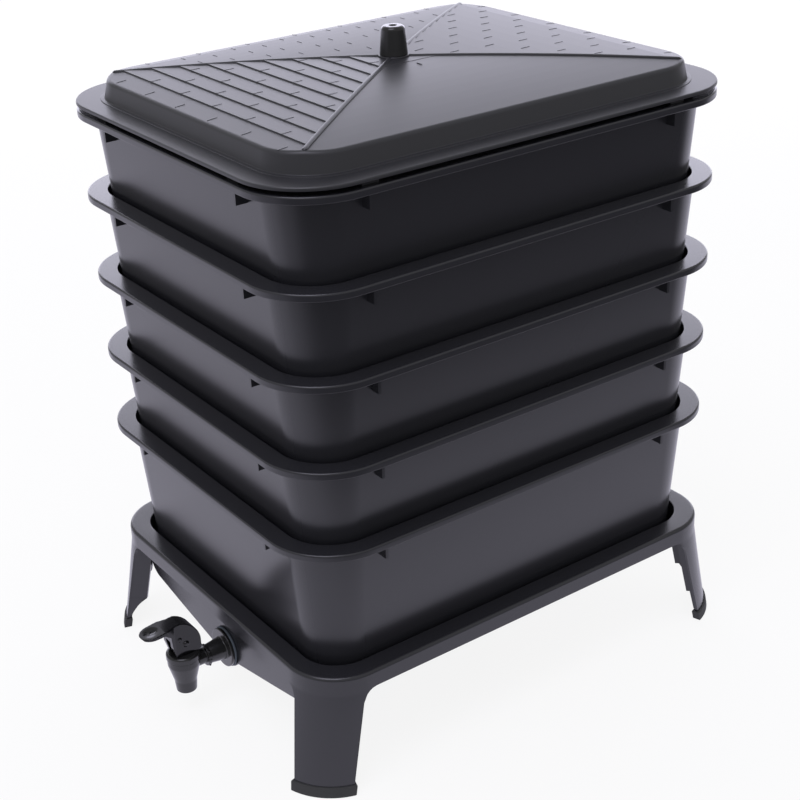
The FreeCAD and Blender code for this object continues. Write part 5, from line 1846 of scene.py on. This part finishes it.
@dataclass
class Tap:
    """The press-down tap: body, barrel, washers, bonnet, return spring and a spoon shaped lever."""

    spout_radius: float = 8.8 * MM
    spout_bore: float = 6.4 * MM
    spout_depth: float = 18 * MM
    neck_radius: float = 9.8 * MM
    top_radius: float = 14 * MM
    spout_drop: float = 25 * MM
    neck_drop: float = 14 * MM
    top_rise: float = 8 * MM
    shoulder_rise: float = 2 * MM
    barrel_radius: float = 8.4 * MM
    barrel_flare: float = 10.4 * MM
    barrel_waist: float = 6.8 * MM
    collar_radius: float = 9.6 * MM
    collar_start: float = 19.5 * MM
    collar_end: float = 22.5 * MM
    nub_radius: float = 0.95 * MM
    nub_count: int = 8
    flange_radius: float = 17.5 * MM
    flange_start: float = 37 * MM
    flange_end: float = 40 * MM
    thread_radius: float = 8 * MM
    bonnet_radius: float = 14.6 * MM
    bonnet_plate: float = 2.5 * MM
    bonnet_bore: float = 2.7 * MM
    bonnet_skirt: float = 9.95 * MM
    bonnet_wall: float = 1.4 * MM
    bonnet_play: float = 0.02 * MM
    washer_bore: float = 8.4 * MM
    cheek: float = 7.4 * MM
    lever_nubs: tuple[Nub, ...] = (Nub(-5.5 * MM, 6 * MM, 1.8 * MM, 1.2 * MM),
                                   Nub(0.0, 0.0, 2.4 * MM, 2 * MM))
    spoon: Hollow = Hollow(9.5 * MM, 8.5 * MM, 8 * MM, 0.8 * MM)
    mark: Hollow = Hollow(12 * MM, 3 * MM, 1.8 * MM, 0.35 * MM)
    voxel: float = 0.38 * MM
    soft_share: float = 0.5
    soft_rounds: int = 7

    def __post_init__(self) -> None:
        """Read the tap's two axes and its thread's end from the frame."""
        low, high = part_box("tap_bonnet")
        self.axis_x = (low.x + high.x) / 2
        washer_low, washer_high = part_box("tap_outer_washer")
        self.axis_z = (washer_low.z + washer_high.z) / 2
        self.thread_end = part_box("tap_body")[1].x - self.axis_x

    def upright(self, height: float) -> Matrix:
        """The tap's upright axis, its foot at a height."""
        return Matrix.Translation((self.axis_x, 0.0, height))

    def lying(self) -> Matrix:
        """The barrel's axis, pointing into the base."""
        return (Matrix.Translation((self.axis_x, 0.0, self.axis_z))
                @ Matrix.Rotation(QUARTER_TURN, 4, "Y"))

    def build(self) -> None:
        """Build the tap's pieces in order."""
        self.build_body()
        self.build_bonnet()
        for node in ("tap_outer_washer", "tap_inner_washer"):
            self.build_washer(node)
        self.build_lever()
        self.build_spring()

    def build_body(self) -> None:
        """Build the spout, the chamber and the barrel as one piece."""
        draft = Draft()
        drop, inner = self.spout_drop, self.spout_depth
        line = rounded([
            (0.0, inner - drop, 0.0), (self.spout_bore, inner - drop, 0.5 * MM),
            (self.spout_bore, -drop, 0.7 * MM), (self.spout_radius, -drop, 1.0 * MM),
            (self.neck_radius, -self.neck_drop, 5 * MM),
            (self.top_radius, self.shoulder_rise, 6 * MM),
            (self.top_radius, self.top_rise, 0.8 * MM), (0.0, self.top_rise, 0.0)], steps=8)
        draft.lathe(line, self.upright(self.axis_z), segments=FINE_SEGMENTS)
        line = rounded([
            (0.0, 0.0, 0.0), (self.barrel_waist, 0.0, 0.0),
            (self.barrel_waist, self.collar_start, 0.5 * MM),
            (self.collar_radius, self.collar_start, 0.6 * MM),
            (self.collar_radius, self.collar_end, 0.6 * MM),
            (self.barrel_radius, self.collar_end, 0.4 * MM),
            (self.barrel_flare, self.flange_start, 1.2 * MM),
            (self.flange_radius, self.flange_start, 1.0 * MM),
            (self.flange_radius, self.flange_end, 0.4 * MM),
            (self.thread_radius, self.flange_end, 0.0),
            (self.thread_radius, self.thread_end, 0.6 * MM), (0.0, self.thread_end, 0.0)], steps=6)
        draft.lathe(line, self.lying())
        piece = draft.piece("tap_body_moulding", TAP_PLASTIC)
        nub_recipe().run(piece, TAP_PLASTIC, {
            "Ring Radius": self.collar_radius, "Nub Radius": self.nub_radius,
            "Count": self.nub_count,
            "Place": (self.axis_x + (self.collar_start + self.collar_end) / 2, 0.0, self.axis_z)})
        outward(piece)
        smooth(piece)
        hand_over(piece, "base", "tap_body")

    def build_bonnet(self) -> None:
        """Build the ring cap at the body's top as one piece."""
        low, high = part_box("tap_bonnet")
        bore, skirt = self.bonnet_bore, self.bonnet_skirt
        inner, under = skirt - self.bonnet_wall, high.z - self.bonnet_plate
        step = self.axis_z + self.top_rise + self.bonnet_play
        line = rounded([
            (inner, low.z, 0.0), (skirt, low.z, 0.0), (skirt, step, 0.0),
            (self.bonnet_radius, step, 0.4 * MM), (self.bonnet_radius, high.z, 2.2 * MM),
            (bore, high.z, 0.4 * MM), (bore, under, 0.0), (inner, under, 0.0)], steps=6)
        draft = Draft()
        draft.lathe(line, self.upright(0.0), closed=True, segments=FINE_SEGMENTS)
        piece = draft.piece("tap_bonnet_ring", TAP_PLASTIC)
        smooth(piece)
        hand_over(piece, "base", "tap_bonnet")

    def build_washer(self, node: str) -> None:
        """Build one flat washer with soft edges.

        Args:
            node: The washer's node.
        """
        low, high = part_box(node)
        radius, bore = (high.z - low.z) / 2, self.washer_bore
        start, end = low.x - self.axis_x, high.x - self.axis_x
        line = rounded([(bore, start, 0.2 * MM), (radius, start, 0.7 * MM),
                        (radius, end, 0.7 * MM), (bore, end, 0.2 * MM)], steps=4)
        draft = Draft()
        draft.lathe(line, self.lying(), closed=True, segments=FINE_SEGMENTS)
        piece = draft.piece(node + "_ring", WASHER_RUBBER)
        smooth(piece)
        hand_over(piece, "base", node)

    def build_lever(self) -> None:
        """Build the lever with its nubs, rounded all over like a small moulding."""
        pin_low, pin_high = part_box("tap_lever_pin")
        pin = Vector(((pin_low.x + pin_high.x) / 2, 0.0, (pin_low.z + pin_high.z) / 2))
        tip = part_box("tap_lever")[0].x
        draft = Draft()
        draft.mesh.from_mesh(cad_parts["tap_lever"].data)
        bmesh.ops.remove_doubles(draft.mesh, verts=draft.mesh.verts, dist=WELD_DISTANCE)
        for sign in (1, -1):
            self.add_nubs(draft, pin, sign)
        piece = draft.piece("tap_lever_moulding", DARKENED_LEVER_PLASTIC)
        shape = piece.modifiers.new("one moulding", "REMESH")
        shape.mode = "VOXEL"
        shape.voxel_size = self.voxel
        soft = piece.modifiers.new("soft edges", "SMOOTH")
        soft.factor = self.soft_share
        soft.iterations = self.soft_rounds
        settle(piece)
        drops = [self.dish(vert.co.x - tip, vert.co.y, vert.normal.z)
                 for vert in piece.data.vertices]
        for vert, drop in zip(piece.data.vertices, drops):
            vert.co.z -= drop
        piece.data.shade_smooth()
        hand_over(piece, "tap_lever", "tap_lever")

    def dish(self, back: float, across: float, facing: float) -> float:
        """How far the paddle's upper face is hollowed at a place.

        Args:
            back: The distance from the paddle's tip.
            across: The distance from its middle line.
            facing: How much the surface faces up.

        Returns:
            The drop in metres.
        """
        if facing < UPPER_FACE:
            return 0.0
        spoon, mark = self.spoon.share(back, across), self.mark.share(back, across)
        return self.spoon.depth * spoon * spoon + self.mark.depth * math.sqrt(mark)

    def add_nubs(self, draft: Draft, pin: Vector, sign: int) -> None:
        """Add the round nubs to one cheek of the lever.

        Args:
            draft: The lever's mesh in the making.
            pin: The lever's pin.
            sign: The cheek's side along Y.
        """
        outward_turn = Matrix.Rotation(-QUARTER_TURN * sign, 4, "X")
        for nub in self.lever_nubs:
            spot = pin + Vector((nub.x, sign * self.cheek, nub.z))
            line = rounded([(0.0, 0.0, 0.0), (nub.radius, 0.0, 0.0),
                            (nub.radius, nub.tall, 0.9 * MM), (0.0, nub.tall, 0.0)], steps=4)
            draft.lathe(line, Matrix.Translation(spot) @ outward_turn, segments=20)

    def build_spring(self) -> None:
        """Build the return spring from a smooth copy of its node's mesh."""
        draft = Draft()
        draft.mesh.from_mesh(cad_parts["tap_spring"].data)
        piece = draft.piece("tap_return_spring", STEEL)
        for face in piece.data.polygons:
            face.material_index = 0
        smooth(piece)
        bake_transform(piece)
        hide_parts("tap_spring")
        LOG.info("%s runs from the stem to the base with %d faces", piece.name,
                 len(piece.data.polygons))


@cache
def nub_recipe() -> Recipe:
    """Build the tree of small round nubs about the barrel's collar.

    Returns:
        The recipe.
    """
    recipe = Recipe("collar nubs")
    radius, nub = recipe.numbers("Ring Radius", "Nub Radius")
    count = recipe.given("Count", "NodeSocketInt")
    place = recipe.given("Place", "NodeSocketVector")
    circle = recipe.add("GeometryNodeMeshCircle", {"fill_type": "NONE"},
                        {"Vertices": count, "Radius": radius})
    bead = recipe.add("GeometryNodeMeshUVSphere", {}, {"Segments": 12, "Rings": 8, "Radius": nub})
    turned = recipe.move(recipe.copies(circle, bead), turn=(0.0, QUARTER_TURN, 0.0))
    return recipe.finish(recipe.move(turned, place))


# Pieces that keep their own mesh

KEPT_NODES: dict[str, Finish] = {
    "lid_knob_screw": STEEL, "tap_nut": TAP_PLASTIC, "tap_stem": STEM_PLASTIC,
    "tap_plug": VALVE_RUBBER, "tap_lever_pin": STEEL}


def dress_kept_nodes() -> None:
    """Give the pieces that keep their own mesh their finish."""
    for node, finish in KEPT_NODES.items():
        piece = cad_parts[node]
        for slot in piece.material_slots:
            slot.material = finish.material()
        LOG.info("%s keeps its mesh in %s", node, finish.name)


# Studio

@dataclass(frozen=True)
class Softbox:
    """A soft rectangular lamp: where its middle is, its width and height, how bright its face is."""

    name: str
    place: Point
    size: Flat
    radiance: float


@dataclass
class Studio:
    """A pale floor, soft lamps and the camera."""

    place: Point = (-0.7119, -1.0016, 0.8299)
    yaw: float = math.radians(35.13)
    pitch: float = math.radians(26.37)
    roll: float = 0.0392
    lens: float = 69.755
    sensor: float = 36.0
    far_clip: float = 60.0
    lamps: tuple[Softbox, ...] = (
        Softbox("back softbox", (1.75, 2.5, 0.985), (4.6, 1.43), 2.6),
        Softbox("upper back softbox", (1.95, 2.75, 2.70), (4.6, 1.75), 0.72),
        Softbox("overhead softbox", (-1.0, -0.5, 2.6), (1.5, 1.5), 3.2))
    lamp_target: Point = (0.0, 0.0, 0.3)
    lamp_steep: float = 0.6
    lamp_tint: Colour = (0.97, 0.955, 1.155)
    sky_light: Colour = (0.54, 0.54, 0.55)
    sky_seen: Colour = (1.0, 1.0, 1.0)
    floor_half: float = 12.0
    floor_paint: float = 0.80
    floor_seen: float = 1.03
    floor_seen_share: float = 0.85
    floor_tint: Colour = (0.97, 0.945, 1.12)
    # The floor's glow in reflections is painted light: its strength, its least strength, and how it
    # fades out in front and towards the camera's side.
    floor_reflected_glow: float = 0.95
    floor_reflected_glow_least: float = 0.12
    front_fade: Flat = (-0.70, -0.30)
    corner_fade: Flat = (0.45, 0.75)
    corner_loss: float = 0.5

    def build(self) -> None:
        """Build the floor, the lamps, the world and the camera."""
        self.add_floor()
        self.add_world()
        for lamp in self.lamps:
            self.add_lamp(lamp)
        self.add_camera()
        bpy.context.scene.view_settings.view_transform = "Standard"

    def add_floor(self) -> None:
        """Add the plain floor, which holds the shadow; in reflections it glows with painted light
        that fades out in front and towards the camera's side.
        """
        half = self.floor_half
        data = bpy.data.meshes.new("floor")
        data.from_pydata([(-half, -half, 0.0), (half, -half, 0.0), (half, half, 0.0),
                          (-half, half, 0.0)], [], [(0, 1, 2, 3)])
        floor = bpy.data.objects.new("floor", data)
        bpy.context.scene.collection.objects.link(floor)
        material = bpy.data.materials.new("paper")
        material.use_nodes = True
        material.node_tree.nodes.clear()
        tree = Tree(material.node_tree)
        path = tree.add("ShaderNodeLightPath")
        spot = tree.add("ShaderNodeSeparateXYZ", {}, {"Vector": tree.coordinates()})
        # Painted light: the glow that reflections see is brightest behind the object and fades out
        # in front and towards the camera's side.
        near = tree.ramp(spot.part("Y"), *self.front_fade)
        ahead = spot.part("X") * -math.sin(self.yaw) - spot.part("Y") * math.cos(self.yaw)
        corner = 1.0 - tree.ramp(ahead, *self.corner_fade) * self.corner_loss
        light = near * corner * self.floor_reflected_glow + self.floor_reflected_glow_least
        mirrored = tree.add("ShaderNodeVectorMath", {"operation": "SCALE"},
                            {0: self.floor_tint, "Scale": light})
        shade = tree.blend(path.part("Is Camera Ray"), mirrored, (*[self.floor_seen] * 3, 1.0))
        paper = tree.add("ShaderNodeBsdfDiffuse", {}, {"Color": (*[self.floor_paint] * 3, 1.0)})
        glow = tree.add("ShaderNodeEmission", {}, {"Color": shade})
        seen = path.part("Is Camera Ray") * self.floor_seen_share
        share = (seen + path.part("Is Glossy Ray")).held()
        both = tree.add("ShaderNodeMixShader", {}, {0: share, 1: paper, 2: glow})
        tree.add("ShaderNodeOutputMaterial", {}, {"Surface": both})
        data.materials.append(material)

    def add_world(self) -> None:
        """Add the white surroundings."""
        world = bpy.data.worlds.new("surroundings")
        world.use_nodes = True
        world.node_tree.nodes.clear()
        tree = Tree(world.node_tree)
        path = tree.add("ShaderNodeLightPath")
        shade = tree.blend(path.part("Is Camera Ray"), (*self.sky_light, 1.0),
                           (*self.sky_seen, 1.0))
        sky = tree.add("ShaderNodeBackground", {}, {"Color": shade})
        tree.add("ShaderNodeOutputWorld", {}, {"Surface": sky})
        bpy.context.scene.world = world

    def add_lamp(self, lamp: Softbox) -> None:
        """Add one lamp that looks at the object. Only a steeply placed one looks down.

        Args:
            lamp: The lamp.
        """
        data = bpy.data.lights.new(lamp.name, "AREA")
        data.shape = "RECTANGLE"
        data.size, data.size_y = lamp.size
        data.energy = lamp.radiance * math.pi * lamp.size[0] * lamp.size[1]
        data.color = self.lamp_tint
        light = bpy.data.objects.new(lamp.name, data)
        bpy.context.scene.collection.objects.link(light)
        aim = Vector(self.lamp_target) - Vector(lamp.place)
        if abs(aim.normalized().z) < self.lamp_steep:
            aim.z = 0.0
        light.matrix_world = (Matrix.Translation(lamp.place)
                              @ aim.to_track_quat("-Z", "Y").to_matrix().to_4x4())
        light.visible_camera = False

    def add_camera(self) -> None:
        """Add the camera at the viewing angle of the photograph."""
        sine, cosine, level = math.sin(self.yaw), math.cos(self.yaw), math.cos(self.pitch)
        ahead = Vector((sine * level, cosine * level, -math.sin(self.pitch)))
        right = Vector((cosine, -sine, 0.0))
        down = ahead.cross(right)
        turned = right * math.cos(self.roll) + down * math.sin(self.roll)
        below = down * math.cos(self.roll) - right * math.sin(self.roll)
        data = bpy.data.cameras.new("camera")
        data.lens = self.lens
        data.sensor_width = self.sensor
        data.clip_end = self.far_clip
        camera = bpy.data.objects.new("camera", data)
        bpy.context.scene.collection.objects.link(camera)
        rows = Matrix((turned, -below, -ahead)).transposed()
        place = Vector(self.place) + Vector((stack_axis(), 0.0, 0.0))
        camera.matrix_world = Matrix.Translation(place) @ rows.to_4x4()
        bpy.context.scene.camera = camera


def main() -> None:
    """Build every sub-assembly in order."""
    logging.basicConfig(level=logging.INFO, format="%(name)s: %(message)s")
    base = CollectorBase()
    base.build()
    for corner in ("front_left", "front_right", "back_left", "back_right"):
        Foot("foot_" + corner).build(base)
    for number in range(1, 6):
        Tray(number).build()
    Lid().build()
    Knob().build()
    Tap().build()
    dress_kept_nodes()
    Studio().build()
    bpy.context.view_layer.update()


if __name__ == "__main__":
    main()
